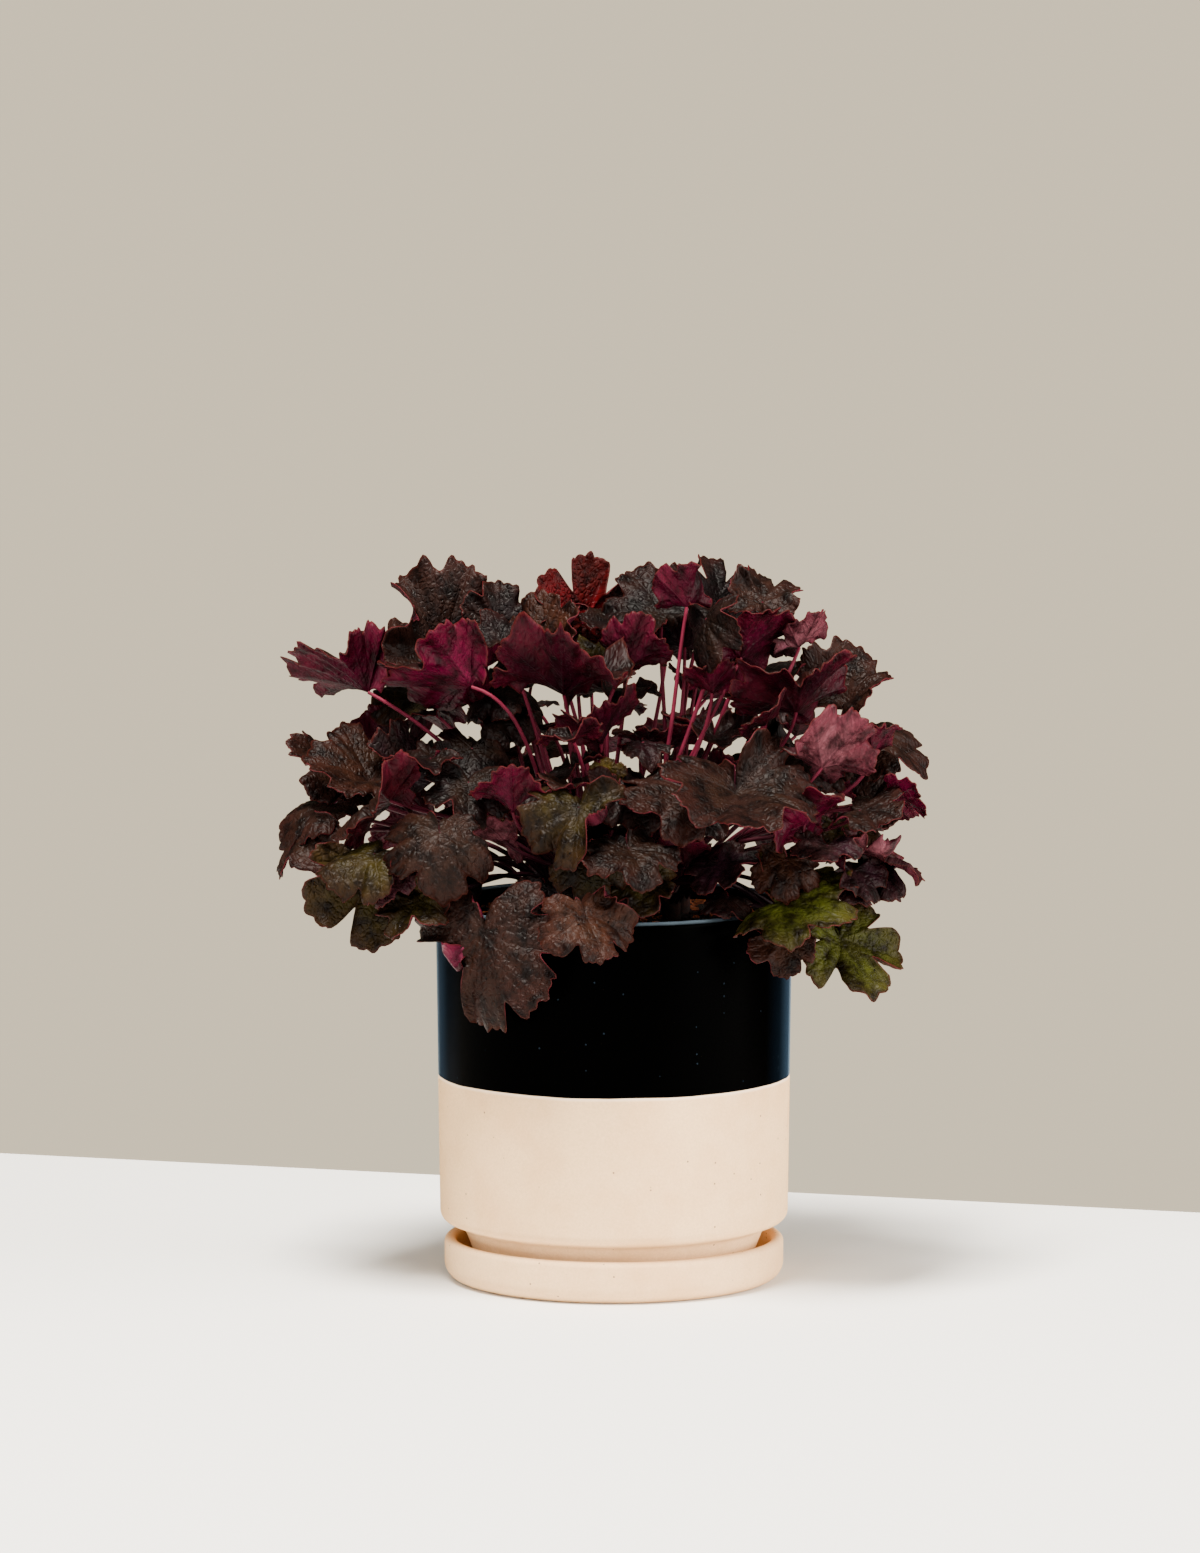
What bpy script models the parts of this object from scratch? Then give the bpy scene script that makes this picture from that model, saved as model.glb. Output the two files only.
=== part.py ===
"""A heuchera in a half-glazed stoneware pot on its saucer.

Metres, +Z up. The origin is the middle of the saucer's flat underside, and -Y is the side that faces
the viewer. The sizes below are in millimetres, and MM turns them into metres.
Run with: blender --background --python part.py
"""

import math
import random
from collections import namedtuple

import bmesh
import bpy
from mathutils import Vector
from mathutils.bvhtree import BVHTree

MM = 0.001
TURN_STEPS = 24  # flat faces round each turned piece
REST_GAP = 0.3  # clearance where one piece rests on or in another

# Saucer
SAUCER_RADIUS = 78.5
SAUCER_HEIGHT = 19.7
SAUCER_WALL = 5.6
SAUCER_FLOOR = 6.0
SAUCER_HEEL = 8.0  # rounding between the side and the underside

# Pot
RIM_RADIUS = 82.3
RIM_TOP = 175.5
RIM_WALL = 6.0
GLAZE_LINE = 95.5  # glazed above this height, bare stoneware below it
SIDE_FOOT_RADIUS = 80.5  # outer radius low on the side: the pot tapers a little
SIDE_FOOT = 32.0
SHOULDER_RADIUS = 70.0  # where the rounded bottom edge has turned in to the foot
SHOULDER = 24.6
FOOT_RADIUS = 64.5
FOOT_BOTTOM = SAUCER_FLOOR + REST_GAP
FOOT_RING_WIDTH = 7.0
FOOT_RECESS = 1.6
POT_FLOOR = 15.5
DRAIN_RADIUS = 7.0

# Potting soil
SOIL_EDGE = 167.0
SOIL_CROWN = 171.5
SOIL_BOTTOM = POT_FLOOR + REST_GAP

# Crown: one short woody stem for each shoot, on a sunflower spiral
SHOOTS = 20
SHOOT_SPREAD = 8.6  # radius of the spiral's first turn
SHOOT_TOP = 180.0
SHOOT_SINK = 12.0  # depth of a stem's foot in the soil
SHOOT_RADIUS = 4.2
MOST_LEAVES = 7  # on one shoot
CROWN_SHARE = 0.24  # a leaf belongs to the stem nearest to this share of its way out

# Leaves
BLADE_THICKNESS = 0.8
STALK_RADIUS = 1.0
STALK_SIDES = 3
STALK_STEPS = 4
STALK_DROP = 0.3  # the stalk's last ring lies this far under the blade that it joins
CLEAR_END = 4.0  # up to this far from the blade, the stalk passes clear of it
FOOT_SPREAD = 2.6  # each stalk has its own place on top of its stem, this far from the middle
BROAD_LEAF = 38.0  # leaves from this size up have seven lobes, smaller ones five
SMALL_LEAF = 27.0  # leaves under this size are a plain fan, larger ones have a ring of points in their middle
CLEARANCE = 0.6  # a leaf keeps about this much room on each side
SEED = 5


def clear_scene():
    for old in list(bpy.data.objects):
        bpy.data.objects.remove(old)


def material(name, colour, roughness):
    made = bpy.data.materials.new(name)
    made.use_nodes = True
    shader = made.node_tree.nodes["Principled BSDF"]
    shader.inputs["Base Color"].default_value = (*colour, 1)
    shader.inputs["Roughness"].default_value = roughness
    made.diffuse_color = (*colour, 1)
    return made


def collection(name):
    made = bpy.data.collections.new(name)
    bpy.context.scene.collection.children.link(made)
    return made


def object_of(mesh, name, home):
    made = bpy.data.objects.new(name, mesh)
    home.objects.link(made)
    return made


def apply_modifiers(obj):
    """Leaves obj with the mesh that its modifiers make."""
    graph = bpy.context.evaluated_depsgraph_get()
    made = bpy.data.meshes.new_from_object(obj.evaluated_get(graph))
    obj.modifiers.clear()
    obj.data = made


def arc(centre, radius, start, end, steps):
    """Points (radius, height) on a round corner, from the start angle to the end angle in degrees."""
    angles = [math.radians(start + (end - start) * i / steps) for i in range(steps + 1)]
    return [(centre[0] + radius * math.cos(a), centre[1] + radius * math.sin(a)) for a in angles]


def turned(name, profile, closed, home, *materials):
    """A turned piece. The profile, in millimetres, runs down the outer side."""
    mesh = bpy.data.meshes.new(name)
    points = [(r * MM, 0, z * MM) for r, z in profile]
    edges = [(i, i + 1) for i in range(len(points) - 1)]
    if closed:
        edges.append((len(points) - 1, 0))
    mesh.from_pydata(points, edges, [])
    made = object_of(mesh, name, home)
    for each in materials:
        mesh.materials.append(each)
    screw = made.modifiers.new("Turn", "SCREW")
    screw.steps = screw.render_steps = TURN_STEPS
    screw.use_merge_vertices = True
    screw.merge_threshold = 1e-6
    apply_modifiers(made)
    made.data.shade_smooth()
    made.data.set_sharp_from_angle(angle=math.radians(40))
    return made


def saucer(home, bare):
    lip = SAUCER_WALL / 2
    lip_centre = (SAUCER_RADIUS - lip, SAUCER_HEIGHT - lip)
    heel_centre = (SAUCER_RADIUS - SAUCER_HEEL, SAUCER_HEEL)
    well = SAUCER_WALL  # inner corner radius
    well_centre = (SAUCER_RADIUS - SAUCER_WALL - well, SAUCER_FLOOR + well)
    profile = arc(lip_centre, lip, 90, 0, 3)
    profile += arc(heel_centre, SAUCER_HEEL, 0, -90, 4)
    profile += [(0, 0), (0, SAUCER_FLOOR)]
    profile += arc(well_centre, well, -90, 0, 3)
    profile += arc(lip_centre, lip, 180, 120, 2)
    return turned("saucer", profile, True, home, bare)


def pot(home, bare, glaze):
    lip = 2.4
    edge = 5.0  # rounding at the bottom of the side
    inner = RIM_RADIUS - RIM_WALL
    inner_foot = SIDE_FOOT_RADIUS - RIM_WALL - 1.5
    well = 10.0
    ring = FOOT_RADIUS - FOOT_RING_WIDTH
    profile = arc((RIM_RADIUS - lip, RIM_TOP - lip), lip, 90, 0, 3)
    draft = (SIDE_FOOT_RADIUS - RIM_RADIUS) * (RIM_TOP - GLAZE_LINE) / (RIM_TOP - SIDE_FOOT)
    profile += [(RIM_RADIUS + draft, GLAZE_LINE)]
    profile += arc((SIDE_FOOT_RADIUS - edge, SIDE_FOOT), edge, 0, -70, 3)
    profile += [(SHOULDER_RADIUS, SHOULDER), (FOOT_RADIUS + 1.2, FOOT_BOTTOM + 8)]
    profile += [(FOOT_RADIUS, FOOT_BOTTOM + 1.5), (FOOT_RADIUS - 1.5, FOOT_BOTTOM)]
    profile += [(ring, FOOT_BOTTOM), (ring - 1.5, FOOT_BOTTOM + FOOT_RECESS)]
    profile += [(DRAIN_RADIUS, FOOT_BOTTOM + FOOT_RECESS), (DRAIN_RADIUS, POT_FLOOR)]
    profile += arc((FOOT_RADIUS - 6 - well, POT_FLOOR + well), well, -90, -25, 2)
    profile += [(inner_foot - 3, SIDE_FOOT + 6), (inner_foot, SIDE_FOOT + 16)]
    profile += arc((inner + lip, RIM_TOP - lip), lip, 180, 90, 2)
    made = turned("pot", profile, True, home, bare, glaze)
    for face in made.data.polygons:
        face.material_index = int(face.center.z > GLAZE_LINE * MM)
    return made


def soil_radius(z):
    """Radius of the soil's side, just inside the pot's wall."""
    inner = RIM_RADIUS - RIM_WALL
    inner_foot = SIDE_FOOT_RADIUS - RIM_WALL - 1.5
    share = (z - SIDE_FOOT - 16) / (RIM_TOP - SIDE_FOOT - 16)
    return inner_foot + (inner - inner_foot) * share - 2 * REST_GAP


def soil(home, matter, standing):
    """The whole fill of the pot, mounded in the middle, with a plain hole for each stem that stands."""
    profile = [(0, SOIL_CROWN), (30, SOIL_CROWN - 0.5), (58, SOIL_EDGE + 1.5)]
    profile += [(soil_radius(SOIL_EDGE) - 2, SOIL_EDGE), (soil_radius(SOIL_EDGE - 2), SOIL_EDGE - 2)]
    profile += [(soil_radius(SIDE_FOOT + 16), SIDE_FOOT + 16), (SIDE_FOOT_RADIUS - 13, SIDE_FOOT + 6)]
    profile += [(FOOT_RADIUS - 9, SOIL_BOTTOM + 5), (FOOT_RADIUS - 17, SOIL_BOTTOM), (0, SOIL_BOTTOM)]
    made = turned("potting_soil", profile, False, home, matter)
    cutters = collection("cutters")
    for x, y in standing:
        hole = peg("hole", x, y, SHOOT_RADIUS + REST_GAP, SOIL_CROWN - SHOOT_SINK, SHOOT_TOP, cutters)
        hole.hide_render = True
    combine(made, cutters, "DIFFERENCE")
    return made


def stems():
    """Where each shoot's stem stands, in millimetres."""
    golden = math.radians(137.508)
    radii = [SHOOT_SPREAD * math.sqrt(i + 0.5) for i in range(SHOOTS)]
    return [(r * math.cos(i * golden), r * math.sin(i * golden)) for i, r in enumerate(radii)]


def peg(name, x, y, radius, bottom, top, home):
    form = bmesh.new()
    bmesh.ops.create_cone(
        form, cap_ends=True, cap_tris=True, segments=6, radius1=radius * MM, radius2=radius * MM,
        depth=(top - bottom) * MM,
    )
    bmesh.ops.translate(form, verts=form.verts, vec=Vector((x, y, (top + bottom) / 2)) * MM)
    mesh = bpy.data.meshes.new(name)
    form.to_mesh(mesh)
    form.free()
    return object_of(mesh, name, home)


def combine(base, others, operation):
    """One Boolean of base with all of a collection, which is then removed."""
    step = base.modifiers.new("Join", "BOOLEAN")
    step.operation = operation
    step.solver = "MANIFOLD"
    step.operand_type = "COLLECTION"
    step.collection = others
    apply_modifiers(base)
    for each in list(others.objects):
        bpy.data.objects.remove(each)
    bpy.data.collections.remove(others)


# A leaf is placed by where its stalk meets the blade, in millimetres, and turned by three angles in
# degrees: heading is the way its middle lobe points in plan (0 is right, -90 is towards the viewer),
# pitch is how far that lobe points up, and roll turns the blade about it. Size is the length of the
# middle lobe. Form says how the blade is dished, and colour is what it shows from the front.
Leaf = namedtuple("Leaf", "x y z heading pitch roll size form colour")
# Slope of the blade in degrees next to the stalk and at the margin, and how deep its lobes are cut.
Form = namedtuple("Form", "cup flare cut")
FORMS = {
    "funnel": Form(50, 16, 0.30),
    "bowl": Form(34, 8, 0.32),
    "flat": Form(14, -12, 0.34),
    "drape": Form(12, -46, 0.32),
    "oak": Form(10, 2, 0.50),
}

UPPER_LEFT = [
    Leaf(-65, -25, 277, 178, -36, 40, 46, "funnel", "crimson"),
    Leaf(-80, 15, 291, 142, 50, -30, 41, "bowl", "umber"),
    Leaf(-108, 0, 272, 180, -20, 34, 40, "funnel", "crimson"),
    Leaf(-98, 26, 285, 150, 12, -30, 28, "flat", "umber"),
    Leaf(-59, 12, 266, 205, -10, -28, 33, "drape", "dark"),
    Leaf(-66, -8, 247, -112, -42, 0, 25, "drape", "dark"),
]
TOP = [
    Leaf(-26, 0, 293, 84, 48, 0, 29, "bowl", "tan"),
    Leaf(-12, 20, 302, 78, 72, 40, 35, "oak", "scarlet"),
    Leaf(-52, 10, 295, 96, 58, 0, 25, "flat", "dark"),
    Leaf(-63, 0, 288, 110, 40, -12, 23, "bowl", "dark"),
    Leaf(-23, -32, 274, -92, 14, 0, 44, "bowl", "wine"),
    Leaf(6, -14, 284, 2, 18, -36, 27, "funnel", "crimson"),
    Leaf(-6, -38, 252, -58, 26, 0, 29, "funnel", "wine"),
    Leaf(-42, -4, 262, -112, -38, 0, 27, "drape", "dark"),
    Leaf(-30, 20, 257, 118, -16, 0, 25, "flat", "dark"),
    Leaf(0, 22, 270, 60, -6, 0, 26, "flat", "dark"),
]
UPPER_RIGHT = [
    Leaf(22, 6, 308, 124, 34, -16, 31, "flat", "dark"),
    Leaf(41, 12, 310, 102, 58, 0, 26, "oak", "dark"),
    Leaf(66, 18, 309, 70, 46, 0, 25, "flat", "umber"),
    Leaf(42, -38, 309, -94, -66, 48, 27, "drape", "dark"),
    Leaf(47, -14, 305, -74, 32, 0, 27, "funnel", "crimson"),
    Leaf(58, -22, 290, 14, 18, -44, 35, "bowl", "crimson"),
    Leaf(80, -4, 293, 8, 22, -36, 22, "bowl", "dusty"),
    Leaf(35, -26, 279, -130, 14, 10, 20, "funnel", "crimson"),
    Leaf(12, 0, 296, 164, 6, -14, 28, "flat", "dark"),
    Leaf(28, 10, 290, 204, 18, 34, 28, "bowl", "wine"),
    Leaf(18, 6, 267, -152, -12, 0, 27, "drape", "dark"),
]
RIGHT = [
    Leaf(83, -32, 266, -62, 38, 0, 40, "bowl", "wine"),
    Leaf(107, 10, 266, 58, 42, 0, 30, "bowl", "umber"),
    Leaf(94, -54, 243, -8, 38, -36, 30, "bowl", "dusty"),
    Leaf(117, -10, 252, -14, -12, 26, 32, "drape", "umber"),
    Leaf(114, -36, 238, -22, 30, -30, 23, "bowl", "crimson"),
    Leaf(114, -22, 226, 6, 0, 44, 31, "bowl", "umber"),
    Leaf(124, -36, 218, -10, -24, -28, 21, "flat", "crimson"),
    Leaf(68, 12, 250, 34, -10, 0, 31, "drape", "dark"),
    Leaf(72, -12, 240, -42, -28, 0, 30, "drape", "dark"),
    Leaf(46, 4, 250, -92, -10, 0, 29, "bowl", "wine"),
    Leaf(21, 0, 244, -112, 10, 0, 27, "bowl", "wine"),
]
MIDDLE_RIGHT = [
    Leaf(55, -70, 233, -78, -40, 0, 49, "bowl", "umber"),
    Leaf(33, -56, 233, -156, -16, -24, 35, "flat", "umber"),
    Leaf(86, -62, 223, -58, 58, 0, 27, "flat", "crimson"),
    Leaf(101, -46, 227, -30, -16, 20, 27, "flat", "umber"),
    Leaf(74, -62, 211, -102, -46, 0, 26, "drape", "tan"),
    Leaf(92, -46, 201, -62, -18, 0, 30, "drape", "purple"),
    Leaf(110, -32, 196, -20, -24, 0, 27, "drape", "purple"),
    Leaf(90, -64, 193, -70, -28, 0, 27, "flat", "purple"),
    Leaf(104, -54, 186, -44, -34, 0, 23, "flat", "purple"),
    Leaf(103, -24, 208, -40, -20, 0, 22, "flat", "olive"),
]
MIDDLE = [
    Leaf(-46, -62, 224, -92, 14, 0, 27, "funnel", "crimson"),
    Leaf(-50, -46, 209, 170, 0, 38, 19, "flat", "dusty"),
    Leaf(-16, -76, 227, -102, -56, 0, 30, "flat", "olive"),
    Leaf(-12, -84, 198, -100, -66, 0, 33, "drape", "olive"),
    Leaf(6, -74, 209, -46, -40, 0, 29, "flat", "tan"),
    Leaf(13, -70, 194, -90, -58, 0, 22, "flat", "olive"),
    Leaf(32, -46, 197, -92, 24, 0, 19, "funnel", "wine"),
    Leaf(-3, -46, 237, 92, 68, 0, 11, "bowl", "straw"),
    Leaf(5, -58, 232, -68, -34, 0, 29, "flat", "dark"),
]
LEFT = [
    Leaf(-123, 6, 233, 170, 14, -24, 33, "flat", "umber"),
    Leaf(-112, -20, 233, 186, 4, -28, 33, "bowl", "tan"),
    Leaf(-96, -12, 229, 112, 48, 0, 27, "bowl", "purple"),
    Leaf(-102, -46, 227, 214, -20, 38, 33, "flat", "rust"),
    Leaf(-130, -18, 222, 192, -14, -32, 29, "drape", "umber"),
    Leaf(-140, -26, 212, 202, -48, -18, 27, "drape", "umber"),
    Leaf(-116, -50, 211, 214, -38, -18, 38, "drape", "olive"),
    Leaf(-126, -38, 188, 132, -58, 0, 22, "flat", "dusty"),
    Leaf(-108, -48, 193, 250, -68, 0, 37, "oak", "olive"),
    Leaf(-96, -62, 205, 252, -48, 20, 25, "flat", "dusty"),
    Leaf(-76, -76, 206, -106, -50, 0, 35, "drape", "tan"),
    Leaf(-85, -66, 184, -132, -48, 0, 22, "flat", "olive"),
    Leaf(-73, -50, 227, -112, -34, 0, 33, "flat", "dark"),
]
OVER_THE_RIM = [
    Leaf(-59, -81, 172, -101, -80, 0, 47, "drape", "umber"),
    Leaf(-13, -93, 181, -62, -56, 0, 28, "flat", "tan"),
    Leaf(77, -72, 169, -94, -78, 36, 19, "flat", "tan"),
    Leaf(76, -70, 178, -16, -8, 32, 37, "flat", "green"),
    Leaf(98, -54, 165, -48, -64, 0, 34, "oak", "green"),
    Leaf(113, -44, 203, -6, -26, -20, 33, "oak", "dusty"),
]
INSIDE = [
    Leaf(-20, -30, 240, -100, -10, 0, 24, "flat", "dark"),
    Leaf(-40, -22, 238, -124, -22, 10, 25, "drape", "dark"),
    Leaf(-88, -58, 221, -122, -28, 0, 25, "flat", "olive"),
    Leaf(24, -18, 258, -70, -20, 0, 22, "drape", "wine"),
    Leaf(48, -54, 199, -64, -24, 10, 22, "flat", "purple"),
    Leaf(62, -46, 190, -84, -34, 0, 21, "drape", "wine"),
    Leaf(40, -30, 214, -90, -20, 0, 25, "flat", "dark"),
    Leaf(12, -34, 214, -96, -24, 0, 24, "flat", "dark"),
    Leaf(-8, -30, 222, -80, -16, 0, 24, "drape", "wine"),
    Leaf(66, -34, 262, -40, 10, 20, 23, "bowl", "wine"),
    Leaf(-84, -36, 240, -150, -10, 0, 24, "flat", "dark"),
    Leaf(-58, -40, 190, -120, -40, 0, 24, "flat", "dark"),
    Leaf(-28, -52, 188, -96, -44, 0, 22, "drape", "dark"),
    Leaf(76, -44, 226, -60, -20, 0, 24, "flat", "dark"),
    Leaf(-84, 10, 262, 150, -20, 0, 24, "drape", "dark"),
]
FRONT_LEAVES = OVER_THE_RIM + MIDDLE_RIGHT + MIDDLE + LEFT + RIGHT + UPPER_LEFT + UPPER_RIGHT + TOP

# Behind and inside, the leaves follow a rule: tiers of a dome, each with its height, radius, number of
# leaves, size and pitch, and the headings in degrees that it starts and ends at.
Tier = namedtuple("Tier", "z radius leaves size pitch start end")
BACK_TIERS = [
    Tier(200, 108, 6, 34, -38, 8, 172),
    Tier(236, 112, 7, 35, -12, 8, 172),
    Tier(268, 88, 5, 34, 6, 8, 172),
    Tier(294, 50, 4, 31, 30, 8, 172),
]
INNER_TIERS = [
    Tier(204, 46, 8, 22, -20, -170, 190),
    Tier(228, 58, 9, 22, -8, -170, 190),
    Tier(256, 52, 8, 23, 0, -170, 190),
]

# What is tried, in this order, until a leaf is clear of those before it: another stem, a turn in place
# as changes of heading, pitch and roll, and a shift outwards, sideways and upwards with a share of its
# size.
STEMS_TRIED = 3
TURNS = [(0, 0, 0), (12, 0, 0), (-12, 0, 0), (0, 14, 0), (0, -14, 0), (0, 0, 18), (0, 0, -18)]
TURNS += [(22, 10, 0), (-22, 10, 0), (22, -10, 0), (-22, -10, 0)]
SHIFTS = [(0, 0, 0, 1), (5, 0, 0, 1), (0, 0, 5, 1), (0, 5, 0, 1), (0, -5, 0, 1), (0, 0, -5, 1)]
SHIFTS += [(9, 4, 3, 0.95), (9, -4, 3, 0.95), (-6, 0, 0, 0.9), (4, 0, 10, 0.9), (12, 0, -4, 0.9)]
SHIFTS += [(0, 9, 4, 0.85), (0, -9, 4, 0.85), (14, 0, 5, 0.8), (5, 0, -9, 0.8), (-8, 0, 8, 0.75)]
SHIFTS += [(-12, 8, 8, 0.8), (-12, -8, 8, 0.8), (10, 14, 0, 0.8), (10, -14, 0, 0.8), (0, 18, -6, 0.75)]
SHIFTS += [(0, -18, -6, 0.75), (8, 0, 16, 0.75), (0, 12, 14, 0.7), (0, -12, 14, 0.7), (18, 0, 12, 0.7)]


def ruled_leaves(tiers):
    draw = random.Random(SEED)
    colours = ["umber", "dark", "wine", "tan", "crimson", "dark", "olive"]
    forms = ["flat", "drape", "bowl", "bowl", "flat"]
    made = []
    for tier in tiers:
        for i in range(tier.leaves):
            way = tier.start + (tier.end - tier.start) * (i + draw.uniform(0.2, 0.8)) / tier.leaves
            radius = tier.radius * draw.uniform(0.84, 1.0)
            made.append(Leaf(
                radius * math.cos(math.radians(way)), radius * math.sin(math.radians(way)),
                tier.z + draw.uniform(-9, 9), way + draw.uniform(-24, 24),
                tier.pitch + draw.uniform(-12, 12), draw.uniform(-16, 16),
                tier.size * draw.uniform(0.82, 1.12),
                draw.choice(forms), draw.choice(colours),
            ))
    return made


def frame_of(leaf):
    """The leaf's own directions: along the middle lobe, to its left, and up out of the upper face."""
    heading, pitch, roll = (math.radians(a) for a in (leaf.heading, leaf.pitch, leaf.roll))
    along = Vector((
        math.cos(heading) * math.cos(pitch), math.sin(heading) * math.cos(pitch), math.sin(pitch),
    ))
    side = Vector((-math.sin(heading), math.cos(heading), 0))
    face = along.cross(side)
    return along, side * math.cos(roll) + face * math.sin(roll), face * math.cos(roll) - side * math.sin(roll)


def lobes_of(leaf):
    return 7 if leaf.size >= BROAD_LEAF else 5


def lobe_step(leaf):
    """The angle between two lobes, in radians."""
    return math.radians(46 if lobes_of(leaf) == 7 else 60)


def reach(leaf, angle):
    """From the stalk to the margin at that angle from the middle lobe: rounded lobes, and a deep notch
    behind the stalk."""
    form = FORMS[leaf.form]
    whole = 0.70 + 0.30 * math.cos(0.62 * angle)
    cut = 1 - form.cut * (0.5 - 0.5 * math.cos(2 * math.pi * angle / lobe_step(leaf))) ** 1.4
    last = (lobes_of(leaf) - 1) / 2 * lobe_step(leaf)
    past = max(0.0, (abs(angle) - last) / (math.pi - last))
    return leaf.size * (whole * cut * (1 - past) + 0.16 * past)


def blade_point(leaf, key, angle, share):
    """A point of the blade, that share of the way from the stalk to the margin. key varies the waves."""
    form = FORMS[leaf.form]
    out = share * reach(leaf, angle)
    slope = math.radians(form.cup + (form.flare - form.cup) * share / 2)
    waves = -0.11 * math.cos(2 * math.pi * angle / lobe_step(leaf) + 0.5 * math.sin(key))
    waves += 0.11 * math.sin(3 * angle + 2.1 * key) + 0.09 * math.sin(2 * angle + 1.3 * key)
    height = out * math.sin(slope) + leaf.size * share ** 2 * waves
    along, side, face = frame_of(leaf)
    flat = out * math.cos(slope)
    place = along * (flat * math.cos(angle)) + side * (flat * math.sin(angle)) + face * height
    return Vector((leaf.x, leaf.y, leaf.z)) + place


def foot_angle(place):
    return 2 * math.pi * place / MOST_LEAVES


def free_place(leaf, stem, used):
    """The free place on top of the stem that faces the leaf best."""
    x, y = stems()[stem]
    way = math.atan2(leaf.y - y, leaf.x - x)
    free = [i for i in range(MOST_LEAVES) if (stem, i) not in used]
    return max(free, key=lambda i: math.cos(way - foot_angle(i)))


def stalk_path(leaf, stem, place):
    """Points of the stalk, up out of its place on its stem and over to the blade."""
    along, _, face = frame_of(leaf)
    end = Vector((leaf.x, leaf.y, leaf.z))
    foot = Vector((*stems()[stem], SHOOT_TOP - 3))
    outward = Vector((end.x - foot.x, end.y - foot.y, 0)).normalized()
    foot += Vector((math.cos(foot_angle(place)), math.sin(foot_angle(place)), 0)) * FOOT_SPREAD
    span = (end - foot).length
    arriving = (face * 0.75 + along * 0.45 + outward * 0.25).normalized()
    lift = foot + (Vector((0, 0, 1)) + outward * 0.5).normalized() * (0.42 * span)
    before = end - arriving * (0.3 * span)
    points = []
    for i in range(STALK_STEPS + 1):
        t = i / STALK_STEPS
        u = 1 - t
        points.append(foot * u ** 3 + lift * (3 * t * u ** 2) + before * (3 * t ** 2 * u) + end * t ** 3)
    return points


def blade_net(leaf, key):
    """The blade's middle sheet as a net of triangles, its hub where the stalk comes in, and the points
    round the hub in order."""
    step = lobe_step(leaf)
    middle = (lobes_of(leaf) - 1) / 2
    net = bmesh.new()

    def place(angle, share):
        return net.verts.new(blade_point(leaf, key, angle, share) * MM)

    hub = place(0, 0)
    axes = [(k - middle) * step for k in range(lobes_of(leaf))]
    near = [place(a - 0.27 * step, 1) for a in axes]
    far = [place(a + 0.27 * step, 1) for a in axes]
    notches = [place(a + 0.5 * step, 1) for a in axes[:-1]]
    back = place(math.pi, 1)
    if leaf.size < SMALL_LEAF:
        around = [back, near[0], far[0]]
        for k, notch in enumerate(notches, 1):
            around += [notch, near[k], far[k]]
        faces = []
    else:
        inner = [place(a, 0.52) for a in axes]
        around = [back] + inner
        faces = [(inner[-1], far[-1], back), (inner[0], back, near[0])]
        faces += [(inner[k], near[k], far[k]) for k in range(len(axes))]
        for k, notch in enumerate(notches):
            faces += [(inner[k], far[k], notch), (inner[k], notch, inner[k + 1])]
            faces.append((inner[k + 1], notch, near[k + 1]))
    faces += [(hub, a, b) for a, b in zip(around, around[1:] + around[:1])]
    for corners in faces:
        net.faces.new(corners)
    net.normal_update()
    return net, hub, around


def add_blade(form, leaf, key, thickness, stalk_ring=None):
    """The blade as two nets of triangles, one on each face, joined round the margin. Round the hub the
    lower net ends on the stalk's last ring, if it is given."""
    net, hub, around = blade_net(leaf, key)
    half = thickness * MM / 2
    upper = {v: form.verts.new(v.co + v.normal * half) for v in net.verts}
    lower = {v: form.verts.new(v.co - v.normal * half) for v in net.verts if v is not hub}
    ring = stalk_ring or [form.verts.new(hub.co - hub.normal * half)]
    for face in net.faces:
        corners = list(face.verts)
        form.faces.new([upper[v] for v in corners])
        if hub not in corners:
            form.faces.new([lower[v] for v in reversed(corners)])
    for edge in net.edges:
        if edge.is_boundary:
            loop = edge.link_loops[0]
            a, b = loop.vert, loop.link_loop_next.vert
            form.faces.new([upper[b], upper[a], lower[a]])
            form.faces.new([upper[b], lower[a], lower[b]])
    pairs = list(zip(around, around[1:] + around[:1]))
    ways = [(a.co + b.co) / 2 - hub.co for a, b in pairs]
    ends = [max(ring, key=lambda v: (v.co - hub.co).dot(way)) for way in ways]
    for i, (a, b) in enumerate(pairs):
        form.faces.new([ends[i], lower[b], lower[a]])
        if ends[i] is not ends[i - 1]:
            form.faces.new([ends[i], lower[a], ends[i - 1]])
    net.free()


def add_tube(form, points, facing, radius):
    """A tube along the points, in millimetres, slimmer towards its end. Its foot is closed. Its last
    ring faces the given way, is left open and is returned."""
    last = len(points) - 1
    across = (points[1] - points[0]).orthogonal()
    rings = []
    for i, point in enumerate(points):
        ahead = facing if i == last else (points[i + 1] - points[max(i - 1, 0)]).normalized()
        across = (across - ahead * across.dot(ahead)).normalized()
        over = ahead.cross(across)
        size = radius * (1.15 - 0.35 * i / last)
        ring = []
        for k in range(STALK_SIDES):
            turn = 2 * math.pi * k / STALK_SIDES
            offset = (across * math.cos(turn) + over * math.sin(turn)) * size
            ring.append(form.verts.new((point + offset) * MM))
        rings.append(ring)
    for low, high in zip(rings, rings[1:]):
        for k in range(STALK_SIDES):
            n = (k + 1) % STALK_SIDES
            form.faces.new([low[k], low[n], high[n]])
            form.faces.new([low[k], high[n], high[k]])
    form.faces.new(reversed(rings[0]))
    return rings[-1]


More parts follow.
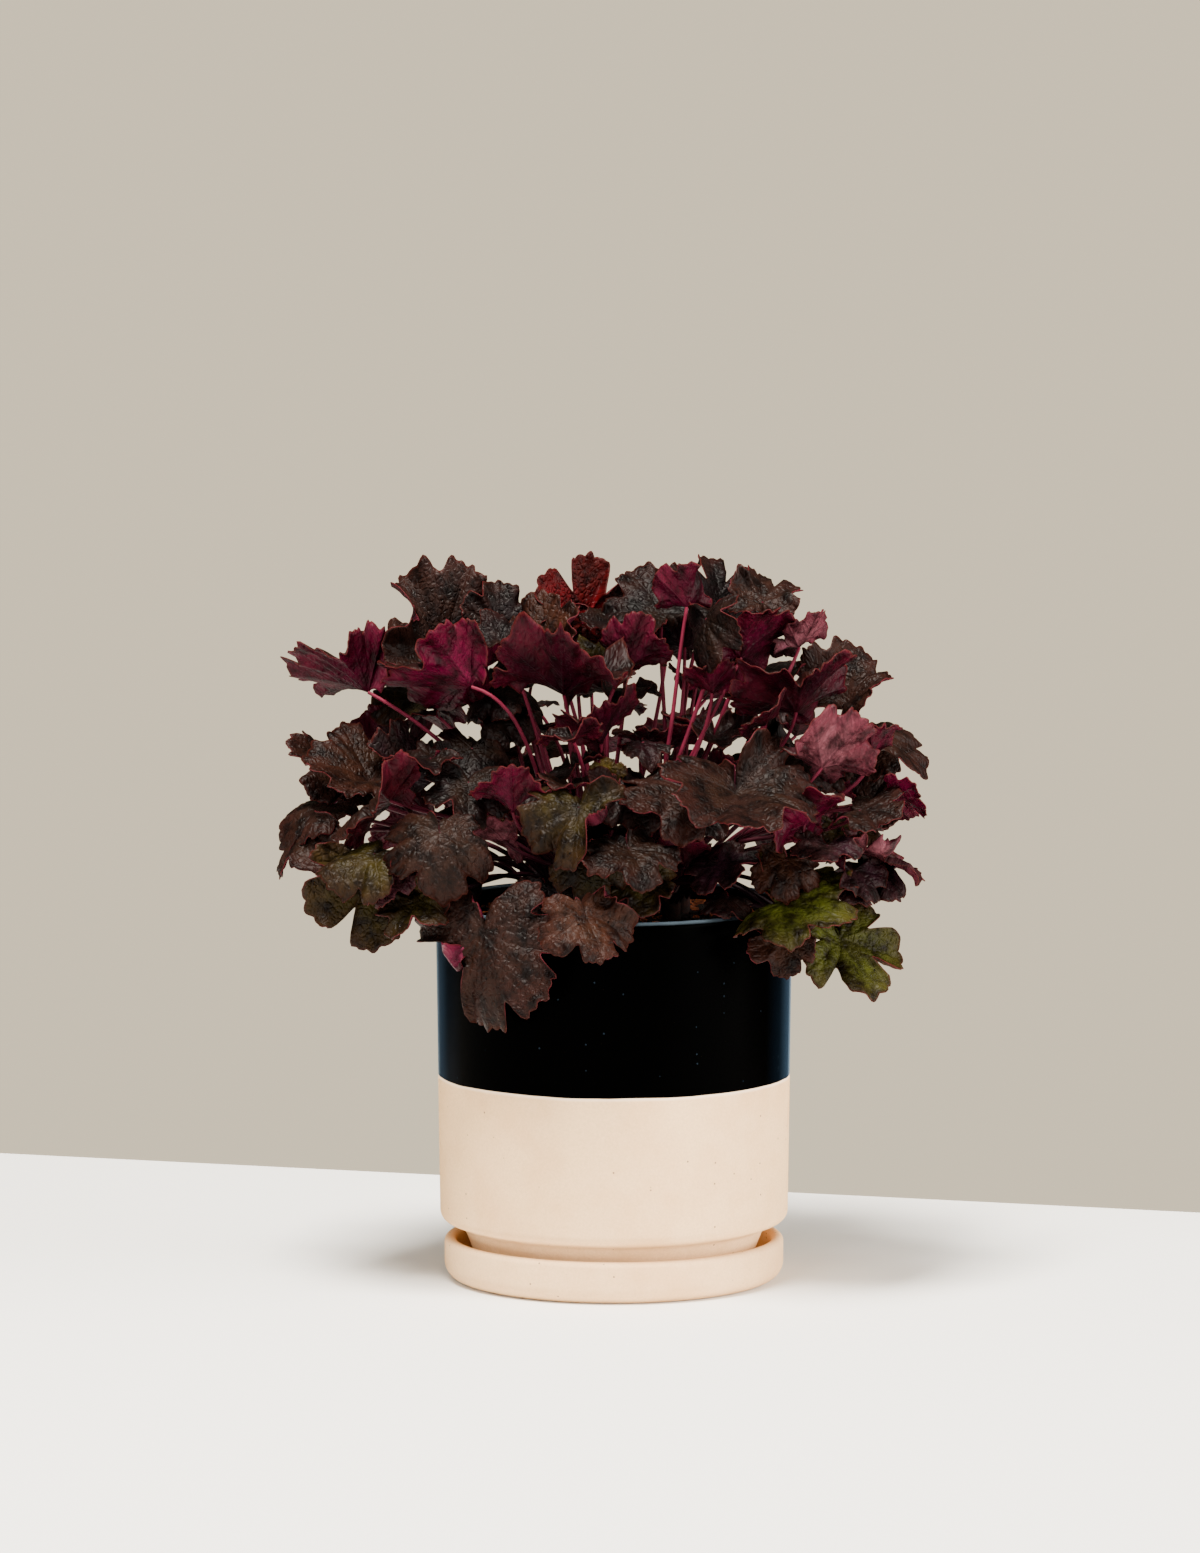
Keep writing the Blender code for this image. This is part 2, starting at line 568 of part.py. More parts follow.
def add_leaf(form, leaf, key, path):
    """A leaf as one closed body, its stalk grown into the underside of its blade."""
    _, _, face = frame_of(leaf)
    joint = path[-1] - face * (BLADE_THICKNESS / 2 + STALK_DROP)
    ring = add_tube(form, path[:-1] + [joint], face, STALK_RADIUS)
    add_blade(form, leaf, key, BLADE_THICKNESS, ring)


def mesh_from(form, name):
    mesh = bpy.data.meshes.new(name)
    form.to_mesh(mesh)
    form.free()
    return mesh


def tree_of(form):
    tree = BVHTree.FromBMesh(form)
    form.free()
    return tree


def tree_of_blade(leaf, key, thickness):
    form = bmesh.new()
    add_blade(form, leaf, key, thickness)
    return tree_of(form)


def tree_of_stalk(path, radius):
    form = bmesh.new()
    add_tube(form, path, (path[-1] - path[-2]).normalized(), radius)
    return tree_of(form)


def tree_of_leaf(leaf, key, path):
    form = bmesh.new()
    add_leaf(form, leaf, key, path)
    return tree_of(form)


def meets_cleanly(leaf, key, path):
    """Whether the stalk comes up under the blade without passing through it."""
    short = path[:-1] + [path[-1] + (path[-2] - path[-1]).normalized() * CLEAR_END]
    return not tree_of_stalk(short, STALK_RADIUS).overlap(tree_of_blade(leaf, key, BLADE_THICKNESS))


def tree_of_vessel():
    """The soil's surface, the rim and the pot's side as one plain turned sheet."""
    lip = 2.4
    inner = RIM_RADIUS - RIM_WALL
    profile = [(1, SOIL_CROWN), (58, SOIL_EDGE + 1.5), (inner, SOIL_EDGE), (inner, RIM_TOP - lip)]
    profile += [(inner + lip, RIM_TOP), (RIM_RADIUS - lip, RIM_TOP), (RIM_RADIUS, RIM_TOP - lip)]
    profile += [(SIDE_FOOT_RADIUS, SIDE_FOOT)]
    form = bmesh.new()
    line = [form.verts.new(Vector((r, 0, z)) * MM) for r, z in profile]
    edges = [form.edges.new(pair) for pair in zip(line, line[1:])]
    bmesh.ops.spin(form, geom=line + edges, axis=(0, 0, 1), steps=48, angle=2 * math.pi)
    return tree_of(form)


def variants(leaf):
    """The leaf as drawn, and then turned and shifted a little."""
    out = Vector((leaf.x, leaf.y)).normalized()
    for outward, sideways, upward, share in SHIFTS:
        for heading, pitch, roll in TURNS:
            yield leaf._replace(
                x=leaf.x + out.x * outward - out.y * sideways,
                y=leaf.y + out.y * outward + out.x * sideways, z=leaf.z + upward,
                heading=leaf.heading + heading, pitch=leaf.pitch + pitch, roll=leaf.roll + roll,
                size=leaf.size * share,
            )


def near_stems(leaf, used):
    """The stems that the leaf may grow from: the nearest to its way out that aren't full."""
    target = Vector((leaf.x, leaf.y)) * CROWN_SHARE
    free = [i for i in range(SHOOTS) if sum(stem == i for stem, _ in used) < MOST_LEAVES]
    return sorted(free, key=lambda i: (Vector(stems()[i]) - target).length)[:STEMS_TRIED]


def arrange():
    """Each leaf as (leaf, key, stem, place), bent clear of the pot, the soil and every leaf before it."""
    used = set()
    taken = []
    placed = []
    vessel = tree_of_vessel()
    drawn = FRONT_LEAVES + ruled_leaves(BACK_TIERS) + INSIDE + ruled_leaves(INNER_TIERS)
    for key, leaf in enumerate(drawn):
        homes = [(stem, free_place(leaf, stem, used)) for stem in near_stems(leaf, used)]
        for tried, (stem, place) in ((turned_leaf, home) for turned_leaf in variants(leaf) for home in homes):
            blade = tree_of_blade(tried, key, BLADE_THICKNESS + 2 * CLEARANCE)
            if blade.overlap(vessel) or any(blade.overlap(tree) for _, tree in taken):
                continue
            path = stalk_path(tried, stem, place)
            stalk = tree_of_stalk(path, STALK_RADIUS + CLEARANCE)
            if stalk.overlap(vessel) or not meets_cleanly(tried, key, path):
                continue
            beyond = tree_of_stalk(path[1:], STALK_RADIUS + CLEARANCE)
            if any((beyond if home == stem else stalk).overlap(tree) for home, tree in taken):
                continue
            taken.append((stem, tree_of_leaf(tried, key, path)))
            placed.append((tried, key, stem, place))
            used.add((stem, place))
            break
        else:
            print("no room for leaf", key, tuple(leaf))
    print(len(placed), "of", len(drawn), "leaves placed")
    return placed


def shoot(name, stem, leaves, home, matter):
    """One shoot: its stem and its leaves, fused."""
    x, y = stems()[stem]
    made = peg(name, x, y, SHOOT_RADIUS, SOIL_CROWN - SHOOT_SINK + REST_GAP, SHOOT_TOP, home)
    pieces = collection("leaves")
    for leaf, key, _, place in leaves:
        form = bmesh.new()
        add_leaf(form, leaf, key, stalk_path(leaf, stem, place))
        object_of(mesh_from(form, "leaf"), "leaf", pieces)
    combine(made, pieces, "UNION")
    made.data.materials.clear()
    made.data.materials.append(matter)
    return made


def main():
    clear_scene()
    home = collection("heuchera")
    bare = material("bare stoneware", (0.80, 0.66, 0.55), 0.7)
    glaze = material("midnight glaze", (0.004, 0.008, 0.015), 0.2)
    peat = material("potting soil", (0.025, 0.014, 0.010), 0.95)
    foliage = material("heuchera leaf", (0.13, 0.03, 0.045), 0.5)
    saucer(home, bare)
    pot(home, bare, glaze)
    placed = arrange()
    standing = sorted({stem for _, _, stem, _ in placed})
    soil(home, peat, [stems()[stem] for stem in standing])
    for number, stem in enumerate(standing, 1):
        leaves = [each for each in placed if each[2] == stem]
        shoot(f"shoot_{number:02d}", stem, leaves, home, foliage)


if __name__ == "__main__":
    main()
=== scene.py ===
# %% [markdown]
# # A potted heuchera
#
# The object is a heuchera with ruffled, lobed leaves, dark grey-brown above and crimson below, in a
# straight stoneware pot with a dark glaze on its upper half, on a matching saucer.
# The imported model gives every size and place. This notebook puts finer pieces where its plain solids
# stand, and gives each piece the finish of the real material.

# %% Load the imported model
import math
import random
from collections import namedtuple

import bpy
import numpy as np
from mathutils import Matrix, Vector
from mathutils.kdtree import KDTree


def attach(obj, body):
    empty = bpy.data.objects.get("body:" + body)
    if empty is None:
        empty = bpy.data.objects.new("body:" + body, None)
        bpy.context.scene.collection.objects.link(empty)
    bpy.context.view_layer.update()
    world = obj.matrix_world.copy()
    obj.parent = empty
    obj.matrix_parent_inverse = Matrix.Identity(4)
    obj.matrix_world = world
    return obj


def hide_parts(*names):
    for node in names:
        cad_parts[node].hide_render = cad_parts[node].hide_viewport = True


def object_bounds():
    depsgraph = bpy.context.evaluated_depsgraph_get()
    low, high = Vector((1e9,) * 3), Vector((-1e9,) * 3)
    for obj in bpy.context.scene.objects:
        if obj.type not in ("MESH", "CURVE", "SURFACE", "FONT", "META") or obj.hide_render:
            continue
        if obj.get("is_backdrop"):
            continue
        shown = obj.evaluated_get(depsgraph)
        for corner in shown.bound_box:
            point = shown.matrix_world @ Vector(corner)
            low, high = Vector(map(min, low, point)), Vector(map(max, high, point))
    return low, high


MM = 0.001

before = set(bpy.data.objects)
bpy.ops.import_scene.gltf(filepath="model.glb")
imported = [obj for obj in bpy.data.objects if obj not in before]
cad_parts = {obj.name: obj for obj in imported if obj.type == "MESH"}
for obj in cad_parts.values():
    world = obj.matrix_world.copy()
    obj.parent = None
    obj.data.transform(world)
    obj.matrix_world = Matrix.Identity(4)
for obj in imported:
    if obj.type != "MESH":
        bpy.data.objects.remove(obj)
cad_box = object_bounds()
print("packed nodes:", len(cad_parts))
print("packed size in mm:", [round((high - low) / MM, 1) for low, high in zip(*cad_box)])


# %% [markdown]
# ## Small tools
#
# Every operator acts on what is selected, so each step starts with nothing selected. Colours are
# written as sRGB hex codes, as a colour picker shows them, and one function turns them linear for the
# shader. Another adds a node with its settings, the values of its sockets and what feeds them.

# %% Selection
def deselect():
    if bpy.context.object and bpy.context.object.mode != "OBJECT":
        bpy.ops.object.mode_set(mode="OBJECT")
    bpy.ops.object.select_all(action="DESELECT")


def select_only(obj):
    deselect()
    obj.select_set(True)
    bpy.context.view_layer.objects.active = obj


# %% Colours and nodes
def linear(code):
    """An sRGB hex code as linear red, green, blue and alpha."""
    parts = [int(code[i:i + 2], 16) / 255 for i in (1, 3, 5)]
    return tuple(c / 12.92 if c <= 0.04045 else ((c + 0.055) / 1.055) ** 2.4 for c in parts) + (1.0,)


def new_material(name):
    """A material, its node tree and its Principled shader."""
    made = bpy.data.materials.new(name)
    made.use_nodes = True
    return made, made.node_tree, made.node_tree.nodes["Principled BSDF"]


def settle(node, values):
    """Gives sockets of the node their own values."""
    for name, value in values.items():
        node.inputs[name].default_value = value


def feed(node, links):
    """Feeds sockets of the node from other sockets. Of a whole node, the first working output is taken."""
    for name, source in links.items():
        if isinstance(source, bpy.types.Node):
            source = next(output for output in source.outputs if output.enabled)
        node.id_data.links.new(source, node.inputs[name])


def add(tree, kind, values=None, links=None, **settings):
    """One node of that kind, with its settings, the values of its sockets and what feeds them."""
    made = tree.nodes.new(kind)
    for name, value in settings.items():
        setattr(made, name, value)
    settle(made, values or {})
    feed(made, links or {})
    return made


print("sRGB middle grey in linear light:", round(linear("#808080")[0], 3))

# %% [markdown]
# ## The camera
#
# The photograph was taken through a long lens, from a little above the rim. The camera's place and
# lens were found by fitting the ellipses of the rim, the glaze line and the saucer.

# %% Camera
PHOTO_HEIGHT = 1553  # pixels of the photograph
FOCAL_PIXELS = 7669  # the fitted lens, in the same pixels
SENSOR_HEIGHT = 36  # mm
CAMERA_PLACE = (-0.00646, -3.5095, 0.627)  # metres
CAMERA_TILT = 6.405  # degrees that it looks down

bpy.ops.object.camera_add(location=CAMERA_PLACE, rotation=(math.radians(90 - CAMERA_TILT), 0, 0))
camera = bpy.context.object
camera.name = "camera"
camera.data.sensor_fit = "VERTICAL"
camera.data.sensor_height = SENSOR_HEIGHT
camera.data.lens = FOCAL_PIXELS / PHOTO_HEIGHT * SENSOR_HEIGHT
camera.data.clip_end = 30
bpy.context.scene.camera = camera
print("lens in mm:", round(camera.data.lens, 1))

# %% [markdown]
# ## Floor and light
#
# The pot stands on a plain white table in a room with a warm grey wall far behind it. The table is one
# sheet, whose back edge runs a little askew behind the pot, as the photograph shows. The grey of the
# room is the world's own colour, so nothing stands in the way of a view from behind.
# Three soft lamps light the plant: the main one from high above, a low broad one from the right, like
# a window, and a weak one from the front.

# %% Table
TABLE_WIDTH = 9.0  # metres
TABLE_DEPTH = 4.5
EDGE_DISTANCE = 0.26  # from the pot's axis back to the table's edge
EDGE_TURN = -16.8  # degrees that the edge is askew

deselect()
bpy.ops.mesh.primitive_plane_add(size=1, location=(0, 0, 0))
table = bpy.context.object
table.name = "table"
bpy.ops.object.mode_set(mode="EDIT")
bpy.ops.transform.resize(value=(TABLE_WIDTH, TABLE_DEPTH, 1))
bpy.ops.transform.translate(value=(0, EDGE_DISTANCE - TABLE_DEPTH / 2, 0))
bpy.ops.transform.rotate(
    value=-math.radians(EDGE_TURN), orient_axis="Z", center_override=(0, EDGE_DISTANCE, 0),
)
bpy.ops.object.mode_set(mode="OBJECT")
matt_white, _, shader = new_material("matt white table")
settle(shader, {"Base Color": linear("#E6E5E1"), "Roughness": 0.8, "Specular IOR Level": 0.2})
table.data.materials.append(matt_white)
table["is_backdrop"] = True
print("table:", [round(v, 2) for v in table.dimensions])


# %% Lamps
def lamp(name, place, size, watts, colour, aim=(0, 0, 0.2)):
    """A soft square lamp that shines from its place towards the aim."""
    deselect()
    turn = (Vector(aim) - Vector(place)).to_track_quat("-Z", "Y").to_euler()
    bpy.ops.object.light_add(type="AREA", location=place, rotation=turn)
    made = bpy.context.object
    made.name = name
    made.data.shape = "SQUARE"
    made.data.size = size
    made.data.energy = watts
    made.data.color = linear(colour)[:3]


lamp("high lamp", (-0.35, -0.8, 2.6), 0.8, 350, "#FFF8EE")
lamp("window lamp", (2.4, -1.0, 0.55), 2.4, 280, "#FFF9F2")
lamp("front lamp", (-1.6, -3.4, 1.5), 1.6, 115, "#FFFFFF")
print("lamps:", [o.name for o in bpy.data.objects if o.type == "LIGHT"])

# %% Air of the room
WALL_SEEN = 1.65  # how bright the far wall looks
WALL_LIGHT = 0.4  # how much light it throws back on the plant: the room itself is dim

world = bpy.data.worlds.new("studio air")
bpy.context.scene.world = world
world.use_nodes = True
air = world.node_tree.nodes["Background"]
air.inputs["Color"].default_value = linear("#CCBEA4")
looked_at = add(world.node_tree, "ShaderNodeLightPath").outputs["Is Camera Ray"]
strength = add(
    world.node_tree, "ShaderNodeMapRange", {"To Min": WALL_LIGHT, "To Max": WALL_SEEN},
    {"Value": looked_at},
)
feed(air, {"Strength": strength})
print("wall seen at", WALL_SEEN, "and lighting the plant at", WALL_LIGHT)


# %% [markdown]
# ## Bare stoneware and its glaze
#
# The pot and the saucer are slip-cast stoneware. Fired without a glaze it is cream, dry and slightly
# uneven in tone, with fine iron specks. The upper half of the pot was dipped in a midnight-blue glaze
# that is nearly black; a painted reflection makes its colour blue-grey towards its edges, and a painted
# highlight is a pale line along the lip. It ends below in a crisp line, with a thin paler edge of body
# under it.
# Both finishes are on one piece of clay, so one material holds both, with a mask by height.

# %% Bare clay
TONE_PATCH = 28 * MM  # soft clouds of warmer clay
CLAY_GRAIN = 1.1 * MM
SPECK_GRID = 4.2 * MM  # about one in seven squares of this width has an iron speck
SPECK_SHARE = 0.14


def clay(tree, spot):
    """The bare clay's colour, its grain and its iron specks."""
    cloud = add(
        tree, "ShaderNodeTexNoise", {"Scale": 1 / TONE_PATCH, "Detail": 3.0, "Roughness": 0.6},
        {"Vector": spot},
    )
    grain = add(
        tree, "ShaderNodeTexNoise", {"Scale": 1 / CLAY_GRAIN, "Detail": 4.0, "Roughness": 0.75},
        {"Vector": spot},
    )
    cells = add(tree, "ShaderNodeTexVoronoi", {"Scale": 1 / SPECK_GRID}, {"Vector": spot})
    near = add(
        tree, "ShaderNodeMapRange", {"From Min": 0.07, "From Max": 0.13, "To Min": 1.0, "To Max": 0.0},
        {"Value": cells},
    )
    chosen = add(tree, "ShaderNodeSeparateColor", links={"Color": cells.outputs["Color"]})
    rare = add(tree, "ShaderNodeMath", {1: 1 - SPECK_SHARE}, {0: chosen}, operation="GREATER_THAN")
    speck = add(tree, "ShaderNodeMath", links={0: near, 1: rare}, operation="MULTIPLY")
    warm = add(
        tree, "ShaderNodeMapRange", {"From Min": 0.42, "From Max": 0.72, "To Max": 0.75}, {"Value": cloud},
    )
    sandy = add(
        tree, "ShaderNodeMapRange", {"From Min": 0.35, "From Max": 0.65, "To Max": 0.35}, {"Value": grain},
    )
    colour = add(
        tree, "ShaderNodeMix", {6: linear("#E4BE8E"), 7: linear("#D6AA78")}, {0: warm}, data_type="RGBA",
    )
    for amount, code in ((sandy, "#BC9470"), (speck, "#6B5646")):
        colour = add(tree, "ShaderNodeMix", {7: linear(code)}, {0: amount, 6: colour}, data_type="RGBA")
    return colour, grain, speck


# %% Glaze
GLAZE_LINE = 95.5 * MM
LINE_WANDER = 30 * MM  # how far along the line it takes to rise and fall
LINE_SWING = 0.6 * MM
RIM_TOP = 175.5
# Painted reflection in the glaze's colour: black facing the viewer, then navy, then blue-grey edge on.
PAINTED_REFLECTION_TONES = [(0.5, "#000000"), (0.66, "#02060C"), (0.84, "#182634"), (1.0, "#6C8090")]


def glaze(tree, spot, bare, speck):
    """Where the glaze is, and the colour of the whole piece with it."""
    height = add(tree, "ShaderNodeSeparateXYZ", links={"Vector": spot}).outputs["Z"]
    wander = add(tree, "ShaderNodeTexNoise", {"Scale": 1 / LINE_WANDER, "Detail": 2.0}, {"Vector": spot})
    line = add(
        tree, "ShaderNodeMapRange", {"To Min": GLAZE_LINE - LINE_SWING, "To Max": GLAZE_LINE + LINE_SWING},
        {"Value": wander},
    )
    above = add(tree, "ShaderNodeMath", links={0: height, 1: line}, operation="SUBTRACT")
    mask = add(
        tree, "ShaderNodeMapRange", {"From Min": -0.1 * MM, "From Max": 0.15 * MM}, {"Value": above},
    )
    halo = add(
        tree, "ShaderNodeMapRange", {"From Min": -1.6 * MM, "From Max": -0.2 * MM, "To Max": 0.8},
        {"Value": above},
    )
    washed = add(tree, "ShaderNodeMix", {7: linear("#F0D8BC")}, {0: halo, 6: bare}, data_type="RGBA")
    # The glaze's colour carries a painted reflection, set by how far the surface is turned edge on.
    edge_on = add(tree, "ShaderNodeLayerWeight", {"Blend": 0.5}).outputs["Facing"]
    glaze_with_painted_light = add(tree, "ShaderNodeValToRGB", links={"Fac": edge_on})
    tones = glaze_with_painted_light.color_ramp.elements
    for place, _ in PAINTED_REFLECTION_TONES[1:-1]:
        tones.new(place)
    for tone, (place, code) in zip(tones, PAINTED_REFLECTION_TONES):
        tone.position = place
        tone.color = linear(code)
    # Painted highlight: a pale blue-grey line (#62727E) along the top of the lip.
    lip = add(
        tree, "ShaderNodeMapRange",
        {"From Min": (RIM_TOP - 1.4) * MM, "From Max": (RIM_TOP - 0.3) * MM, "To Max": 0.55},
        {"Value": height},
    )
    for amount, code in ((speck, "#141C24"), (lip, "#62727E")):
        glaze_with_painted_light = add(tree, "ShaderNodeMix", {7: linear(code)}, {0: amount, 6: glaze_with_painted_light}, data_type="RGBA")
    return mask, add(tree, "ShaderNodeMix", links={0: mask, 6: washed, 7: glaze_with_painted_light}, data_type="RGBA")


# %% Stoneware materials
CLAY_ROUGHNESS = 0.82
GLAZE_ROUGHNESS = 0.3


def stoneware(name, glazed):
    matt, tree, shader = new_material(name)
    spot = add(tree, "ShaderNodeTexCoord").outputs["Object"]
    colour, grain, speck = clay(tree, spot)
    relief = add(tree, "ShaderNodeBump", {"Strength": 0.25, "Distance": 0.25 * MM}, {"Height": grain})
    settle(shader, {"Roughness": CLAY_ROUGHNESS, "Specular IOR Level": 0.3})
    if glazed:
        mask, colour = glaze(tree, spot, colour, speck)
        dry_to_glassy = add(
            tree, "ShaderNodeMapRange", {"To Min": CLAY_ROUGHNESS, "To Max": GLAZE_ROUGHNESS},
            {"Value": mask},
        )
        feed(shader, {"Roughness": dry_to_glassy})
        settle(shader, {"Specular IOR Level": 0.004})
    feed(shader, {"Base Color": colour, "Normal": relief})
    return matt


bare_stoneware = stoneware("bare stoneware", False)
glazed_stoneware = stoneware("half glazed stoneware", True)
print("made", bare_stoneware.name, "and", glazed_stoneware.name)


# %% [markdown]
# ## The pot and the saucer
#
# Both are turned shapes. The outline is walked as a list of radii and heights in millimetres, and a
# ring of edges is extruded from each to the next, which is what a potter's template does to the clay.
# The rounded corners are arcs, so a change of one radius keeps the rest.

# %% Turning a piece from its outline
def arc(centre, radius, start, end, steps):
    """Points (radius, height) round a corner, from the start angle to the end angle in degrees."""
    angles = [math.radians(start + (end - start) * i / steps) for i in range(steps + 1)]
    return [(centre[0] + radius * math.cos(a), centre[1] + radius * math.sin(a)) for a in angles]


def along_line(start, end, steps):
    """Points between two corners of an outline, without the corners."""
    shares = [i / steps for i in range(1, steps)]
    return [(start[0] + (end[0] - start[0]) * s, start[1] + (end[1] - start[1]) * s) for s in shares]


def turned(name, outline, sides, closed):
    """A turned piece. A closed outline is bridged round to its start, an open one keeps its two ends."""
    deselect()
    (radius, height), *rest = outline
    bpy.ops.mesh.primitive_circle_add(vertices=sides, radius=radius * MM, location=(0, 0, 0))
    made = bpy.context.object
    made.name = name
    bpy.ops.object.mode_set(mode="EDIT")
    bpy.ops.transform.translate(value=(0, 0, height * MM))
    for next_radius, next_height in rest:
        rise = (next_height - height) * MM
        bpy.ops.mesh.extrude_region_move(TRANSFORM_OT_translate={"value": (0, 0, rise)})
        grow = next_radius / radius
        bpy.ops.transform.resize(value=(grow, grow, 1), center_override=(0, 0, 0))
        radius, height = next_radius, next_height
    bpy.ops.object.mode_set(mode="OBJECT")
    if closed:
        count = len(made.data.vertices)
        first = set(range(sides))
        last = set(range(count - sides, count))
        for edge in made.data.edges:
            pair = set(edge.vertices)
            edge.select = pair <= first or pair <= last
        bpy.ops.object.mode_set(mode="EDIT")
        bpy.ops.mesh.select_mode(type="EDGE")
        bpy.ops.mesh.bridge_edge_loops()
    bpy.ops.object.mode_set(mode="EDIT")
    bpy.ops.mesh.select_all(action="SELECT")
    bpy.ops.mesh.normals_make_consistent(inside=False)
    bpy.ops.object.mode_set(mode="OBJECT")
    bpy.ops.object.shade_smooth_by_angle(angle=math.radians(35))
    return made


# %% Saucer
REST_GAP = 0.3
SAUCER_RADIUS = 78.5
SAUCER_HEIGHT = 19.7
SAUCER_WALL = 5.6
SAUCER_FLOOR = 6.0
SAUCER_HEEL = 8.0
TURN_SIDES = 128
MIDWAY = 40.0  # one more ring halfway to the axis keeps the flat faces from being long slivers
CENTRE_HOLE = 2.0  # a pinhole in the middle, hidden under the pot

lip = SAUCER_WALL / 2
lip_centre = (SAUCER_RADIUS - lip, SAUCER_HEIGHT - lip)
well_centre = (SAUCER_RADIUS - 2 * SAUCER_WALL, SAUCER_FLOOR + SAUCER_WALL)
saucer_outline = arc((SAUCER_RADIUS - SAUCER_HEEL, SAUCER_HEEL), SAUCER_HEEL, -90, 0, 14)
saucer_outline += arc(lip_centre, lip, 0, 180, 18)
saucer_outline += arc(well_centre, SAUCER_WALL, 0, -90, 10)
saucer_outline += [(MIDWAY, SAUCER_FLOOR), (CENTRE_HOLE, SAUCER_FLOOR), (CENTRE_HOLE, 0), (MIDWAY, 0)]
saucer = turned("stoneware_saucer", saucer_outline, TURN_SIDES, True)
saucer.data.materials.append(bare_stoneware)
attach(saucer, "root")
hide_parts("saucer")
print("saucer:", len(saucer.data.polygons), "faces")

# %% Pot
RIM_RADIUS = 82.3
RIM_WALL = 6.0
SIDE_FOOT_RADIUS = 80.5
SIDE_FOOT = 32.0
SHOULDER_RADIUS = 70.0
SHOULDER = 24.6
FOOT_RADIUS = 64.5
FOOT_BOTTOM = SAUCER_FLOOR + REST_GAP
FOOT_RING_WIDTH = 7.0
FOOT_RECESS = 1.6
POT_FLOOR = 15.5
DRAIN_RADIUS = 7.0
SIDE_FOOT_ROUND = 5.0  # rounding where the side turns in
NECK_ROUND = 3.4  # rounding of the hollow above the foot

lip = RIM_WALL / 2
inner = RIM_RADIUS - RIM_WALL
inner_foot = SIDE_FOOT_RADIUS - RIM_WALL - 1.5
ring = FOOT_RADIUS - FOOT_RING_WIDTH
under = FOOT_BOTTOM + FOOT_RECESS
pot_outline = arc((RIM_RADIUS - lip, RIM_TOP - lip), lip, 90, 0, 8)
pot_outline += along_line((RIM_RADIUS, RIM_TOP - lip), (SIDE_FOOT_RADIUS, SIDE_FOOT), 24)
pot_outline += arc((SIDE_FOOT_RADIUS - SIDE_FOOT_ROUND, SIDE_FOOT), SIDE_FOOT_ROUND, 0, -62, 8)
pot_outline += arc((SHOULDER_RADIUS + 2.2, SHOULDER - 2.6), NECK_ROUND, 108, 176, 6)
pot_outline += [(FOOT_RADIUS + 1.2, FOOT_BOTTOM + 8), (FOOT_RADIUS, FOOT_BOTTOM + 1.5)]
pot_outline += [(FOOT_RADIUS - 0.5, FOOT_BOTTOM + 0.4), (FOOT_RADIUS - 1.5, FOOT_BOTTOM)]
pot_outline += [(ring, FOOT_BOTTOM), (ring - 1.5, under), (DRAIN_RADIUS + 1, under)]
pot_outline += [(DRAIN_RADIUS, under + 1), (DRAIN_RADIUS, POT_FLOOR - 1), (DRAIN_RADIUS + 1, POT_FLOOR)]
pot_outline += arc((FOOT_RADIUS - 16, POT_FLOOR + 10), 10, -90, -25, 8)
pot_outline += [(inner_foot - 3, SIDE_FOOT + 6), (inner_foot, SIDE_FOOT + 16)]
pot_outline += along_line((inner_foot, SIDE_FOOT + 16), (inner, RIM_TOP - lip), 6)
pot_outline += arc((inner + lip, RIM_TOP - lip), lip, 180, 98, 8)
pot = turned("stoneware_pot", pot_outline, TURN_SIDES, True)
pot.data.materials.append(glazed_stoneware)
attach(pot, "root")
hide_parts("pot")
print("pot:", len(pot.data.polygons), "faces")

# %% [markdown]
# ## The potting soil
#
# Potting mix is peat with crumbs of bark. Seen from the side only its top shows, a rough dark surface
# with crumbs and orange-brown chips on it. The fill is turned like the pot, with close rings on top,
# and a noise lifts those rings. One crumb and one chip are modelled and then copied over it.

# %% Soil materials
SOIL_CLOD = 2.2 * MM


def earthy(name, dark, light, roughness):
    matt, tree, shader = new_material(name)
    spot = add(tree, "ShaderNodeTexCoord").outputs["Object"]
    clod = add(
        tree, "ShaderNodeTexNoise", {"Scale": 1 / SOIL_CLOD, "Detail": 6.0, "Roughness": 0.7},
        {"Vector": spot},
    )
    share = add(tree, "ShaderNodeMapRange", {"From Min": 0.4, "From Max": 0.7}, {"Value": clod})
    colour = add(
        tree, "ShaderNodeMix", {6: linear(dark), 7: linear(light)}, {0: share}, data_type="RGBA",
    )
    relief = add(tree, "ShaderNodeBump", {"Strength": 0.8, "Distance": 1.2 * MM}, {"Height": clod})
    feed(shader, {"Base Color": colour, "Normal": relief})
    settle(shader, {"Roughness": roughness, "Specular IOR Level": 0.3})
    return matt


peat = earthy("moist peat", "#080403", "#1E110A", 0.9)
bark = earthy("shredded bark", "#4A1E0A", "#A4541E", 0.75)
print("made", peat.name, "and", bark.name)

# %% Soil fill
SOIL_EDGE = 167.0
SOIL_CROWN = 171.5
SOIL_BOTTOM = POT_FLOOR + REST_GAP
SOIL_SIDES = 160
TOP_RINGS = 46
TOP_INSET = 0.4  # the outermost ring of the top lies this far in from the side
CLOD_WIDTH = 5 * MM
CLOD_HEIGHT = 3.2 * MM


def soil_radius(z):
    """Radius of the soil's side, just inside the pot's wall."""
    share = (z - SIDE_FOOT - 16) / (RIM_TOP - SIDE_FOOT - 16)
    return inner_foot + (inner - inner_foot) * share - 2 * REST_GAP


def soil_height(radius):
    """Height of the mounded top at that distance from the axis, before the noise."""
    share = min(radius / soil_radius(SOIL_EDGE), 1)
    return SOIL_CROWN + (SOIL_EDGE - SOIL_CROWN) * share ** 2


